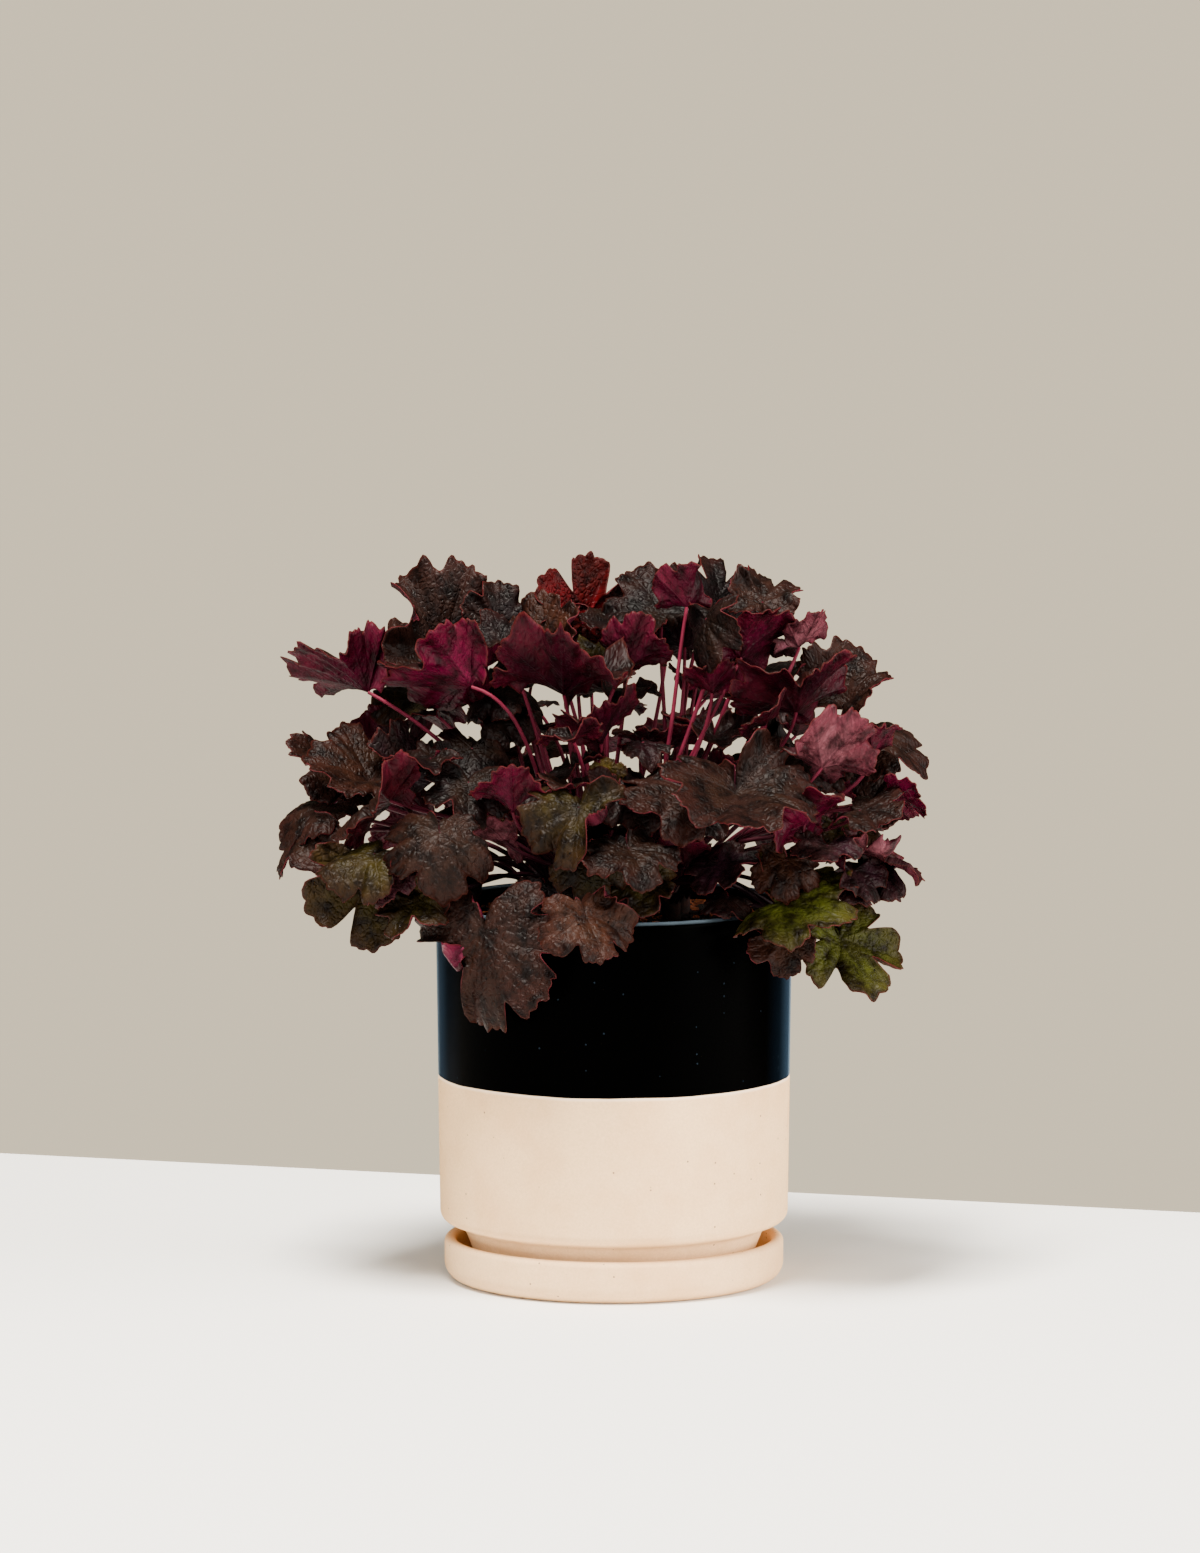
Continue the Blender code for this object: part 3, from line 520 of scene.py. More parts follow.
soil_outline = [(2, SOIL_BOTTOM), (FOOT_RADIUS - 17, SOIL_BOTTOM), (FOOT_RADIUS - 9, SOIL_BOTTOM + 5)]
soil_outline += [(SIDE_FOOT_RADIUS - 13, SIDE_FOOT + 6), (soil_radius(SIDE_FOOT + 16), SIDE_FOOT + 16)]
soil_outline += [(soil_radius(SOIL_EDGE - 1), SOIL_EDGE - 1)]
for i in range(TOP_RINGS):
    radius = (soil_radius(SOIL_EDGE) - TOP_INSET) * (1 - i / TOP_RINGS)
    soil_outline.append((radius, soil_height(radius)))
fill = turned("potting_soil_fill", soil_outline, SOIL_SIDES, False)
select_only(fill)
top = fill.vertex_groups.new(name="top")
top.add([v.index for v in fill.data.vertices if v.co.z > (SOIL_EDGE - 0.5) * MM], 1.0, "REPLACE")
clods = bpy.data.textures.new("clods", "CLOUDS")
clods.noise_scale = CLOD_WIDTH
clods.noise_depth = 3
lift = fill.modifiers.new("lift", "DISPLACE")
lift.texture = clods
lift.vertex_group = "top"
lift.direction = "Z"
lift.strength = CLOD_HEIGHT
lift.mid_level = 0.55
bpy.ops.object.modifier_apply(modifier="lift")
fill.data.materials.append(peat)
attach(fill, "root")
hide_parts("potting_soil")
print("soil:", len(fill.data.polygons), "faces")


# %% [markdown]
# ## Copies in one mesh
#
# Crumbs, chips and leaves are all copies of one modelled shape. A small function takes the shape and
# the list of places, gives each copy its own points, and puts them all in one mesh.

# %% Gathering copies
def points_of(mesh):
    flat = np.empty(len(mesh.vertices) * 3)
    mesh.vertices.foreach_get("co", flat)
    return flat.reshape(-1, 3)


def gathered(name, shape, copies):
    """One mesh object with a copy of the shape for each array of points."""
    corners = np.empty(len(shape.loops), int)
    shape.loops.foreach_get("vertex_index", corners)
    totals = np.empty(len(shape.polygons), int)
    shape.polygons.foreach_get("loop_total", totals)
    count = len(shape.vertices)
    faces = np.split(corners, np.cumsum(totals)[:-1])
    mesh = bpy.data.meshes.new(name)
    places = np.concatenate(copies)
    all_faces = [face + count * i for i in range(len(copies)) for face in faces]
    mesh.from_pydata(places, [], all_faces)
    made = bpy.data.objects.new(name, mesh)
    bpy.context.scene.collection.objects.link(made)
    return made


# %% Crumbs and bark chips
CRUMBS = 1500
CHIPS = 260
RAISED = 0.25  # a crumb's middle lies this share of its size above the soil


def scattered(count, low, high, flatness, draw):
    """A turned, sized and placed matrix for each crumb on the soil's top."""
    made = []
    for _ in range(count):
        radius = (soil_radius(SOIL_EDGE) - 2) * math.sqrt(draw.random())
        way = draw.uniform(0, 2 * math.pi)
        size = draw.uniform(low, high)
        turn = Matrix.Rotation(draw.uniform(0, math.pi), 4, "Z")
        tilt = Matrix.Rotation(draw.uniform(-0.6, 0.6), 4, "X")
        height = soil_height(radius) + RAISED * size
        spot = Vector((radius * math.cos(way), radius * math.sin(way), height))
        stretch = Matrix.Diagonal((size * draw.uniform(1, 1.9), size, size * flatness, 1))
        made.append(Matrix.Translation(spot * MM) @ turn @ tilt @ stretch @ Matrix.Scale(MM, 4))
    return made


def copies_at(shape, matrices):
    base = np.c_[points_of(shape), np.ones(len(shape.vertices))]
    return [(base @ np.array(m).T)[:, :3] for m in matrices]


deselect()
bpy.ops.mesh.primitive_ico_sphere_add(subdivisions=1, radius=0.5, location=(0, 0, 0))
crumb = bpy.context.object
bpy.ops.object.mode_set(mode="EDIT")
bpy.ops.transform.vertex_random(offset=0.16, seed=3)
bpy.ops.object.mode_set(mode="OBJECT")

deselect()
bpy.ops.mesh.primitive_cube_add(size=1, location=(0, 0, 0))
chip = bpy.context.object
bpy.ops.object.mode_set(mode="EDIT")
bpy.ops.mesh.subdivide(number_cuts=1)
bpy.ops.transform.vertex_random(offset=0.14, seed=8)
bpy.ops.object.mode_set(mode="OBJECT")

draw = random.Random(11)
crumb_places = scattered(CRUMBS, low=1.0, high=2.8, flatness=0.8, draw=draw)
chip_places = scattered(CHIPS, low=1.4, high=3.4, flatness=0.5, draw=draw)
crumbs = gathered("peat_crumbs", crumb.data, copies_at(crumb.data, crumb_places))
crumbs.data.materials.append(peat)
chips = gathered("bark_chips", chip.data, copies_at(chip.data, chip_places))
chips.data.materials.append(bark)
for pattern in (crumb, chip):
    bpy.data.objects.remove(pattern)
for piece in (crumbs, chips):
    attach(piece, "root")
print("crumbs and chips:", len(crumbs.data.polygons), len(chips.data.polygons), "faces")

# %% [markdown]
# ## The leaves, as they are drawn
#
# Each leaf of the side that the photograph shows has its own line: where its stalk meets the blade,
# which way it turns, how long its middle lobe is, how its blade is dished, and its tint. The leaves
# behind, and the small ones inside, follow a seeded rule: tiers of a dome, each with its height, radius,
# number of leaves, size and pitch, and the headings that it starts and ends at. The same lines made the
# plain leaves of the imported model.

# %% Leaf list
# A leaf is placed in millimetres and turned in degrees: heading is the way its middle lobe points in
# plan (0 is right, -90 is towards the viewer), pitch is how far that lobe points up, and roll turns the
# blade about it.
Leaf = namedtuple("Leaf", "x y z heading pitch roll size form colour")
# Slope of the blade in degrees next to the stalk and at the margin, and how deep its lobes are cut.
Form = namedtuple("Form", "cup flare cut")
FORMS = {
    "funnel": Form(50, 16, 0.30),
    "bowl": Form(34, 8, 0.32),
    "flat": Form(14, -12, 0.34),
    "drape": Form(12, -46, 0.32),
    "oak": Form(10, 2, 0.50),
}

UPPER_LEFT = [
    Leaf(-65, -25, 277, 178, -36, 40, 46, "funnel", "crimson"),
    Leaf(-80, 15, 291, 142, 50, -30, 41, "bowl", "umber"),
    Leaf(-108, 0, 272, 180, -20, 34, 40, "funnel", "crimson"),
    Leaf(-98, 26, 285, 150, 12, -30, 28, "flat", "umber"),
    Leaf(-59, 12, 266, 205, -10, -28, 33, "drape", "dark"),
    Leaf(-66, -8, 247, -112, -42, 0, 25, "drape", "dark"),
]
TOP = [
    Leaf(-26, 0, 293, 84, 48, 0, 29, "bowl", "tan"),
    Leaf(-12, 20, 302, 78, 72, 40, 35, "oak", "scarlet"),
    Leaf(-52, 10, 295, 96, 58, 0, 25, "flat", "dark"),
    Leaf(-63, 0, 288, 110, 40, -12, 23, "bowl", "dark"),
    Leaf(-23, -32, 274, -92, 14, 0, 44, "bowl", "wine"),
    Leaf(6, -14, 284, 2, 18, -36, 27, "funnel", "crimson"),
    Leaf(-6, -38, 252, -58, 26, 0, 29, "funnel", "wine"),
    Leaf(-42, -4, 262, -112, -38, 0, 27, "drape", "dark"),
    Leaf(-30, 20, 257, 118, -16, 0, 25, "flat", "dark"),
    Leaf(0, 22, 270, 60, -6, 0, 26, "flat", "dark"),
]
UPPER_RIGHT = [
    Leaf(22, 6, 308, 124, 34, -16, 31, "flat", "dark"),
    Leaf(41, 12, 310, 102, 58, 0, 26, "oak", "dark"),
    Leaf(66, 18, 309, 70, 46, 0, 25, "flat", "umber"),
    Leaf(42, -38, 309, -94, -66, 48, 27, "drape", "dark"),
    Leaf(47, -14, 305, -74, 32, 0, 27, "funnel", "crimson"),
    Leaf(58, -22, 290, 14, 18, -44, 35, "bowl", "crimson"),
    Leaf(80, -4, 293, 8, 22, -36, 22, "bowl", "dusty"),
    Leaf(35, -26, 279, -130, 14, 10, 20, "funnel", "crimson"),
    Leaf(12, 0, 296, 164, 6, -14, 28, "flat", "dark"),
    Leaf(28, 10, 290, 204, 18, 34, 28, "bowl", "wine"),
    Leaf(18, 6, 267, -152, -12, 0, 27, "drape", "dark"),
]
RIGHT = [
    Leaf(83, -32, 266, -62, 38, 0, 40, "bowl", "wine"),
    Leaf(107, 10, 266, 58, 42, 0, 30, "bowl", "umber"),
    Leaf(94, -54, 243, -8, 38, -36, 30, "bowl", "dusty"),
    Leaf(117, -10, 252, -14, -12, 26, 32, "drape", "umber"),
    Leaf(114, -36, 238, -22, 30, -30, 23, "bowl", "crimson"),
    Leaf(114, -22, 226, 6, 0, 44, 31, "bowl", "umber"),
    Leaf(124, -36, 218, -10, -24, -28, 21, "flat", "crimson"),
    Leaf(68, 12, 250, 34, -10, 0, 31, "drape", "dark"),
    Leaf(72, -12, 240, -42, -28, 0, 30, "drape", "dark"),
    Leaf(46, 4, 250, -92, -10, 0, 29, "bowl", "wine"),
    Leaf(21, 0, 244, -112, 10, 0, 27, "bowl", "wine"),
]
MIDDLE_RIGHT = [
    Leaf(55, -70, 233, -78, -40, 0, 49, "bowl", "umber"),
    Leaf(33, -56, 233, -156, -16, -24, 35, "flat", "umber"),
    Leaf(86, -62, 223, -58, 58, 0, 27, "flat", "crimson"),
    Leaf(101, -46, 227, -30, -16, 20, 27, "flat", "umber"),
    Leaf(74, -62, 211, -102, -46, 0, 26, "drape", "tan"),
    Leaf(92, -46, 201, -62, -18, 0, 30, "drape", "purple"),
    Leaf(110, -32, 196, -20, -24, 0, 27, "drape", "purple"),
    Leaf(90, -64, 193, -70, -28, 0, 27, "flat", "purple"),
    Leaf(104, -54, 186, -44, -34, 0, 23, "flat", "purple"),
    Leaf(103, -24, 208, -40, -20, 0, 22, "flat", "olive"),
]
MIDDLE = [
    Leaf(-46, -62, 224, -92, 14, 0, 27, "funnel", "crimson"),
    Leaf(-50, -46, 209, 170, 0, 38, 19, "flat", "dusty"),
    Leaf(-16, -76, 227, -102, -56, 0, 30, "flat", "olive"),
    Leaf(-12, -84, 198, -100, -66, 0, 33, "drape", "olive"),
    Leaf(6, -74, 209, -46, -40, 0, 29, "flat", "rust"),
    Leaf(13, -70, 194, -90, -58, 0, 22, "flat", "olive"),
    Leaf(32, -46, 197, -92, 24, 0, 19, "funnel", "wine"),
    Leaf(-3, -46, 237, 92, 68, 0, 11, "bowl", "straw"),
    Leaf(5, -58, 232, -68, -34, 0, 29, "flat", "dark"),
]
LEFT = [
    Leaf(-123, 6, 233, 170, 14, -24, 33, "flat", "umber"),
    Leaf(-112, -20, 233, 186, 4, -28, 33, "bowl", "tan"),
    Leaf(-96, -12, 229, 112, 48, 0, 27, "bowl", "purple"),
    Leaf(-102, -46, 227, 214, -20, 38, 33, "flat", "rust"),
    Leaf(-130, -18, 222, 192, -14, -32, 29, "drape", "umber"),
    Leaf(-140, -26, 212, 202, -48, -18, 27, "drape", "umber"),
    Leaf(-116, -50, 211, 214, -38, -18, 38, "drape", "olive"),
    Leaf(-126, -38, 188, 132, -58, 0, 22, "flat", "dusty"),
    Leaf(-108, -48, 193, 250, -68, 0, 37, "oak", "olive"),
    Leaf(-96, -62, 205, 252, -48, 20, 25, "flat", "dusty"),
    Leaf(-76, -76, 206, -106, -50, 0, 35, "drape", "rust"),
    Leaf(-85, -66, 184, -132, -48, 0, 22, "flat", "olive"),
    Leaf(-73, -50, 227, -112, -34, 0, 33, "flat", "dark"),
]
OVER_THE_RIM = [
    Leaf(-59, -81, 172, -101, -80, 0, 47, "drape", "umber"),
    Leaf(-13, -93, 181, -62, -56, 0, 28, "flat", "tan"),
    Leaf(77, -72, 169, -94, -78, 36, 19, "flat", "tan"),
    Leaf(76, -70, 178, -16, -8, 32, 37, "flat", "green"),
    Leaf(98, -54, 165, -48, -64, 0, 34, "oak", "green"),
    Leaf(113, -44, 203, -6, -26, -20, 33, "oak", "dusty"),
]
INSIDE = [
    Leaf(-20, -30, 240, -100, -10, 0, 24, "flat", "dark"),
    Leaf(-40, -22, 238, -124, -22, 10, 25, "drape", "dark"),
    Leaf(-88, -58, 221, -122, -28, 0, 25, "flat", "olive"),
    Leaf(24, -18, 258, -70, -20, 0, 22, "drape", "wine"),
    Leaf(48, -54, 199, -64, -24, 10, 22, "flat", "purple"),
    Leaf(62, -46, 190, -84, -34, 0, 21, "drape", "wine"),
    Leaf(40, -30, 214, -90, -20, 0, 25, "flat", "dark"),
    Leaf(12, -34, 214, -96, -24, 0, 24, "flat", "dark"),
    Leaf(-8, -30, 222, -80, -16, 0, 24, "drape", "wine"),
    Leaf(66, -34, 262, -40, 10, 20, 23, "bowl", "wine"),
    Leaf(-84, -36, 240, -150, -10, 0, 24, "flat", "dark"),
    Leaf(-58, -40, 190, -120, -40, 0, 24, "flat", "dark"),
    Leaf(-28, -52, 188, -96, -44, 0, 22, "drape", "dark"),
    Leaf(76, -44, 226, -60, -20, 0, 24, "flat", "dark"),
    Leaf(-84, 10, 262, 150, -20, 0, 24, "drape", "dark"),
]
FRONT_LEAVES = OVER_THE_RIM + MIDDLE_RIGHT + MIDDLE + LEFT + RIGHT + UPPER_LEFT + UPPER_RIGHT + TOP
print("leaves drawn for the front:", len(FRONT_LEAVES))


# %% Leaves behind and inside
SEED = 5
Tier = namedtuple("Tier", "z radius leaves size pitch start end")
BACK_TIERS = [
    Tier(200, 108, 6, 34, -38, 8, 172),
    Tier(236, 112, 7, 35, -12, 8, 172),
    Tier(268, 88, 5, 34, 6, 8, 172),
    Tier(294, 50, 4, 31, 30, 8, 172),
]
INNER_TIERS = [
    Tier(204, 46, 8, 22, -20, -170, 190),
    Tier(228, 58, 9, 22, -8, -170, 190),
    Tier(256, 52, 8, 23, 0, -170, 190),
]


def ruled_leaves(tiers):
    draw = random.Random(SEED)
    colours = ["umber", "dark", "wine", "tan", "crimson", "dark", "olive"]
    forms = ["flat", "drape", "bowl", "bowl", "flat"]
    made = []
    for tier in tiers:
        for i in range(tier.leaves):
            way = tier.start + (tier.end - tier.start) * (i + draw.uniform(0.2, 0.8)) / tier.leaves
            radius = tier.radius * draw.uniform(0.84, 1.0)
            made.append(Leaf(
                radius * math.cos(math.radians(way)), radius * math.sin(math.radians(way)),
                tier.z + draw.uniform(-9, 9), way + draw.uniform(-24, 24),
                tier.pitch + draw.uniform(-12, 12), draw.uniform(-16, 16),
                tier.size * draw.uniform(0.82, 1.12),
                draw.choice(forms), draw.choice(colours),
            ))
    return made


drawn_leaves = FRONT_LEAVES + ruled_leaves(BACK_TIERS) + INSIDE + ruled_leaves(INNER_TIERS)
print("leaves drawn in all:", len(drawn_leaves))


# %% [markdown]
# ## The shape of a blade
#
# A heuchera leaf is round with five or seven lobes, and its stalk meets it at a deep notch. So a point
# of it is told by an angle round the stalk and a share of the way to the margin. The same formula
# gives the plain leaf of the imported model, and here it also takes whole arrays of points.

# %% Blade formula
BROAD_LEAF = 38.0  # leaves from this size up have seven lobes, smaller ones five


def frame_of(leaf):
    """The leaf's own directions: along the middle lobe, to its left, and up out of the upper face."""
    heading, pitch, roll = (math.radians(a) for a in (leaf.heading, leaf.pitch, leaf.roll))
    along = Vector((
        math.cos(heading) * math.cos(pitch), math.sin(heading) * math.cos(pitch), math.sin(pitch),
    ))
    side = Vector((-math.sin(heading), math.cos(heading), 0))
    face = along.cross(side)
    turned_side = side * math.cos(roll) + face * math.sin(roll)
    return along, turned_side, face * math.cos(roll) - side * math.sin(roll)


def lobes_of(leaf):
    return 7 if leaf.size >= BROAD_LEAF else 5


def lobe_step(leaf):
    """The angle between two lobes, in radians."""
    return math.radians(46 if lobes_of(leaf) == 7 else 60)


def reach(leaf, angle, roundness=1.4, depth=1.0, fullness=1.0):
    """From the stalk to the margin at that angle from the middle lobe, in millimetres.

    The plain leaf has the given roundness, depth of cuts and fullness of the back lobes.
    """
    form = FORMS[leaf.form]
    whole = 0.70 + 0.30 * np.cos(0.62 * angle)
    cut = 1 - form.cut * depth * (0.5 - 0.5 * np.cos(2 * np.pi * angle / lobe_step(leaf))) ** roundness
    last = (lobes_of(leaf) - 1) / 2 * lobe_step(leaf)
    past = np.maximum(0.0, (np.abs(angle) - last) / (np.pi - last)) ** fullness
    return leaf.size * (whole * cut * (1 - past) + 0.16 * past)


def blade_points(leaf, key, angle, share, out=None, lift=0.0):
    """Points of the blade, in millimetres. out may be a finer way out, and lift is added to the height."""
    form = FORMS[leaf.form]
    if out is None:
        out = share * reach(leaf, angle)
    slope = np.radians(form.cup + (form.flare - form.cup) * share / 2)
    waves = -0.11 * np.cos(2 * np.pi * angle / lobe_step(leaf) + 0.5 * math.sin(key))
    waves = waves + 0.11 * np.sin(3 * angle + 2.1 * key) + 0.09 * np.sin(2 * angle + 1.3 * key)
    height = out * np.sin(slope) + leaf.size * share ** 2 * waves + lift
    along, side, face = (np.array(way) for way in frame_of(leaf))
    flat = out * np.cos(slope)
    place = np.multiply.outer(flat * np.cos(angle), along) + np.multiply.outer(flat * np.sin(angle), side)
    return np.array([leaf.x, leaf.y, leaf.z]) + place + np.multiply.outer(height, face)


# %% [markdown]
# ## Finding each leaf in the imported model
#
# Where leaves would have crossed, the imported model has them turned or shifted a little. The points of
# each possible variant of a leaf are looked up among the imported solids' own points, and the variant
# that is found is the one that stands there. The shoot that it belongs to is found with it.

# %% Variants of a leaf
SHOOTS = 20
SHOOT_SPREAD = 8.6
SHOOT_TOP = 180.0
SHOOT_SINK = 12.0
STEM_FOOT = SOIL_CROWN - SHOOT_SINK + REST_GAP
SHOOT_RADIUS = 4.2
MOST_LEAVES = 7  # on one shoot
STALK_RADIUS = 1.0
FOOT_SPREAD = 2.6  # each stalk has its own place on top of its stem, this far from the middle

TURNS = [(0, 0, 0), (12, 0, 0), (-12, 0, 0), (0, 14, 0), (0, -14, 0), (0, 0, 18), (0, 0, -18)]
TURNS += [(22, 10, 0), (-22, 10, 0), (22, -10, 0), (-22, -10, 0)]
SHIFTS = [(0, 0, 0, 1), (5, 0, 0, 1), (0, 0, 5, 1), (0, 5, 0, 1), (0, -5, 0, 1), (0, 0, -5, 1)]
SHIFTS += [(9, 4, 3, 0.95), (9, -4, 3, 0.95), (-6, 0, 0, 0.9), (4, 0, 10, 0.9), (12, 0, -4, 0.9)]
SHIFTS += [(0, 9, 4, 0.85), (0, -9, 4, 0.85), (14, 0, 5, 0.8), (5, 0, -9, 0.8), (-8, 0, 8, 0.75)]
SHIFTS += [(-12, 8, 8, 0.8), (-12, -8, 8, 0.8), (10, 14, 0, 0.8), (10, -14, 0, 0.8), (0, 18, -6, 0.75)]
SHIFTS += [(0, -18, -6, 0.75), (8, 0, 16, 0.75), (0, 12, 14, 0.7), (0, -12, 14, 0.7), (18, 0, 12, 0.7)]


def stems():
    """Where each shoot's stem stands, in millimetres."""
    golden = math.radians(137.508)
    radii = [SHOOT_SPREAD * math.sqrt(i + 0.5) for i in range(SHOOTS)]
    return [(r * math.cos(i * golden), r * math.sin(i * golden)) for i, r in enumerate(radii)]


def variants(leaf):
    """The leaf as drawn, and then turned and shifted a little."""
    out = Vector((leaf.x, leaf.y)).normalized()
    for outward, sideways, upward, share in SHIFTS:
        for heading, pitch, roll in TURNS:
            yield leaf._replace(
                x=leaf.x + out.x * outward - out.y * sideways,
                y=leaf.y + out.y * outward + out.x * sideways, z=leaf.z + upward,
                heading=leaf.heading + heading, pitch=leaf.pitch + pitch, roll=leaf.roll + roll,
                size=leaf.size * share,
            )


def foot_angle(place):
    return 2 * math.pi * place / MOST_LEAVES


def free_place(leaf, stem, used):
    """The free place on top of the stem that faces the leaf best."""
    x, y = stems()[stem]
    way = math.atan2(leaf.y - y, leaf.x - x)
    free = [i for i in range(MOST_LEAVES) if (stem, i) not in used]
    return max(free, key=lambda i: math.cos(way - foot_angle(i)))


def stalk_controls(leaf, stem, place):
    """The four control points of the stalk's curve, in millimetres."""
    along, _, face = frame_of(leaf)
    end = Vector((leaf.x, leaf.y, leaf.z))
    foot = Vector((*stems()[stem], SHOOT_TOP - 3))
    outward = Vector((end.x - foot.x, end.y - foot.y, 0)).normalized()
    foot += Vector((math.cos(foot_angle(place)), math.sin(foot_angle(place)), 0)) * FOOT_SPREAD
    span = (end - foot).length
    arriving = (face * 0.75 + along * 0.45 + outward * 0.25).normalized()
    lift = foot + (Vector((0, 0, 1)) + outward * 0.5).normalized() * (0.42 * span)
    return foot, lift, end - arriving * (0.3 * span), end


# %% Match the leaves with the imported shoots
MATCH = 0.6 * MM  # the plain blades are 0.8 mm thick, so their points lie 0.4 mm off the middle sheet

shoot_names = sorted(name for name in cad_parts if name.startswith("shoot_"))
shoot_points = [points_of(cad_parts[name].data) for name in shoot_names]
owners = np.concatenate([np.full(len(p), i) for i, p in enumerate(shoot_points)])
packed_points = KDTree(len(owners))
for index, point in enumerate(np.concatenate(shoot_points)):
    packed_points.insert(point, index)
packed_points.balance()


def shoot_at(leaf, key):
    """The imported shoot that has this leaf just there, or None."""
    step = lobe_step(leaf)
    middle = (lobes_of(leaf) - 1) / 2
    owner = None
    for lobe in range(lobes_of(leaf)):
        for side in (-0.27, 0.27):
            point = blade_points(leaf, key, (lobe - middle + side) * step, 1.0)
            _, index, distance = packed_points.find(point * MM)
            if distance > MATCH:
                return None
            owner = owners[index]
    return owner


def stem_of(points):
    """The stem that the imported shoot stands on: the one with the most points at the foot's height."""
    foot = points[np.abs(points[:, 2] / MM - STEM_FOOT) < 0.1][:, :2] / MM
    near = [(np.linalg.norm(foot - stem, axis=1) < SHOOT_RADIUS + 0.5).sum() for stem in stems()]
    return int(np.argmax(near))


shoot_stems = [stem_of(points) for points in shoot_points]
used = set()
grown = {name: [] for name in shoot_names}
for key, leaf in enumerate(drawn_leaves):
    for tried in variants(leaf):
        owner = shoot_at(tried, key)
        if owner is not None:
            stem = shoot_stems[owner]
            place = free_place(leaf, stem, used)
            used.add((stem, place))
            grown[shoot_names[owner]].append((tried, key, stem, place))
            break
print("leaves found:", sum(len(leaves) for leaves in grown.values()), "of", len(drawn_leaves))


# %% [markdown]
# ## Leaf materials
#
# A leaf is two skins with green and wine-red tissue between them. The upper skin is puckered between a
# net of veins, dull where the light grazes it, and grey-brown to olive. The lower skin is smooth and
# crimson to dusty pink, with raised veins. Each leaf carries its own tints as colour attributes, and two
# UV maps: one counts lobes round the stalk and the way out to the margin, the other lies flat on the
# blade in centimetres.

# %% Leaf tints
UPPER_TINTS = {
    "crimson": "#150407", "umber": "#1B0D09", "dark": "#0C0506", "tan": "#25120A", "scarlet": "#560008",
    "wine": "#140407", "dusty": "#42202A", "purple": "#1A0810", "olive": "#221C06", "green": "#363A0C",
    "straw": "#463A12", "rust": "#1A0D08",
}
UNDER_TINTS = {
    "crimson": "#3E001A", "umber": "#581A32", "dark": "#140308", "tan": "#642A3A", "scarlet": "#460006",
    "wine": "#1A0008", "dusty": "#663840", "purple": "#2E0A1C", "olive": "#38141E", "green": "#32300E",
    "straw": "#463A12", "rust": "#2E0A10",
}


# %% Veins of a leaf
FLAT_UNIT = 0.01  # the flat map counts centimetres
SMALL_VEIN = 2.6 * MM  # width of a pucker between small veins
SIDE_VEINS = 6  # on each side of a lobe's midrib
SIDE_SLANT = 0.9  # how far side veins run outwards on their way to the margin


def vein_distances(tree, flat):
    """The way out to the margin, and how far the nearest midrib, side vein and small vein are."""
    lobes = add(tree, "ShaderNodeUVMap", uv_map="lobes")
    place = add(tree, "ShaderNodeSeparateXYZ", links={"Vector": lobes})
    way_out = place.outputs["Y"]
    # The midribs lie at whole numbers, so half a lobe is the farthest from one.
    aside = add(tree, "ShaderNodeMath", {1: 0.5}, {0: place}, operation="PINGPONG")
    off_rib = add(tree, "ShaderNodeMath", links={0: aside, 1: way_out}, operation="MULTIPLY")
    slant = add(tree, "ShaderNodeMath", {1: -SIDE_SLANT, 2: 1.0}, {0: aside}, operation="MULTIPLY_ADD")
    rank = add(tree, "ShaderNodeMath", links={0: slant, 1: way_out}, operation="MULTIPLY")
    ranks = add(tree, "ShaderNodeMath", {1: SIDE_VEINS}, {0: rank}, operation="MULTIPLY")
    off_side = add(tree, "ShaderNodeMath", {1: 0.5}, {0: ranks}, operation="PINGPONG")
    off_small = add(
        tree, "ShaderNodeTexVoronoi", {"Scale": FLAT_UNIT / SMALL_VEIN, "Randomness": 0.9},
        {"Vector": flat}, feature="DISTANCE_TO_EDGE",
    )
    return way_out, off_rib, off_side, off_small


# %% Leaf skins
LEAF_CLOUD = 9 * MM  # width of a lighter or darker patch
CAST_CLOUD = 22 * MM  # width of a patch of another cast
PIT_GRID = 4.5 * MM  # some squares of this width have a small glossy pit, painted near black as the shade in its hollow
PIT_GLOSS = 0.18
LEAF_GRAIN = 1.2 * MM

Skin = namedtuple(
    "Skin", "name tint cast blush mottle rim vein vein_share ribs pits roughness depth specular",
)


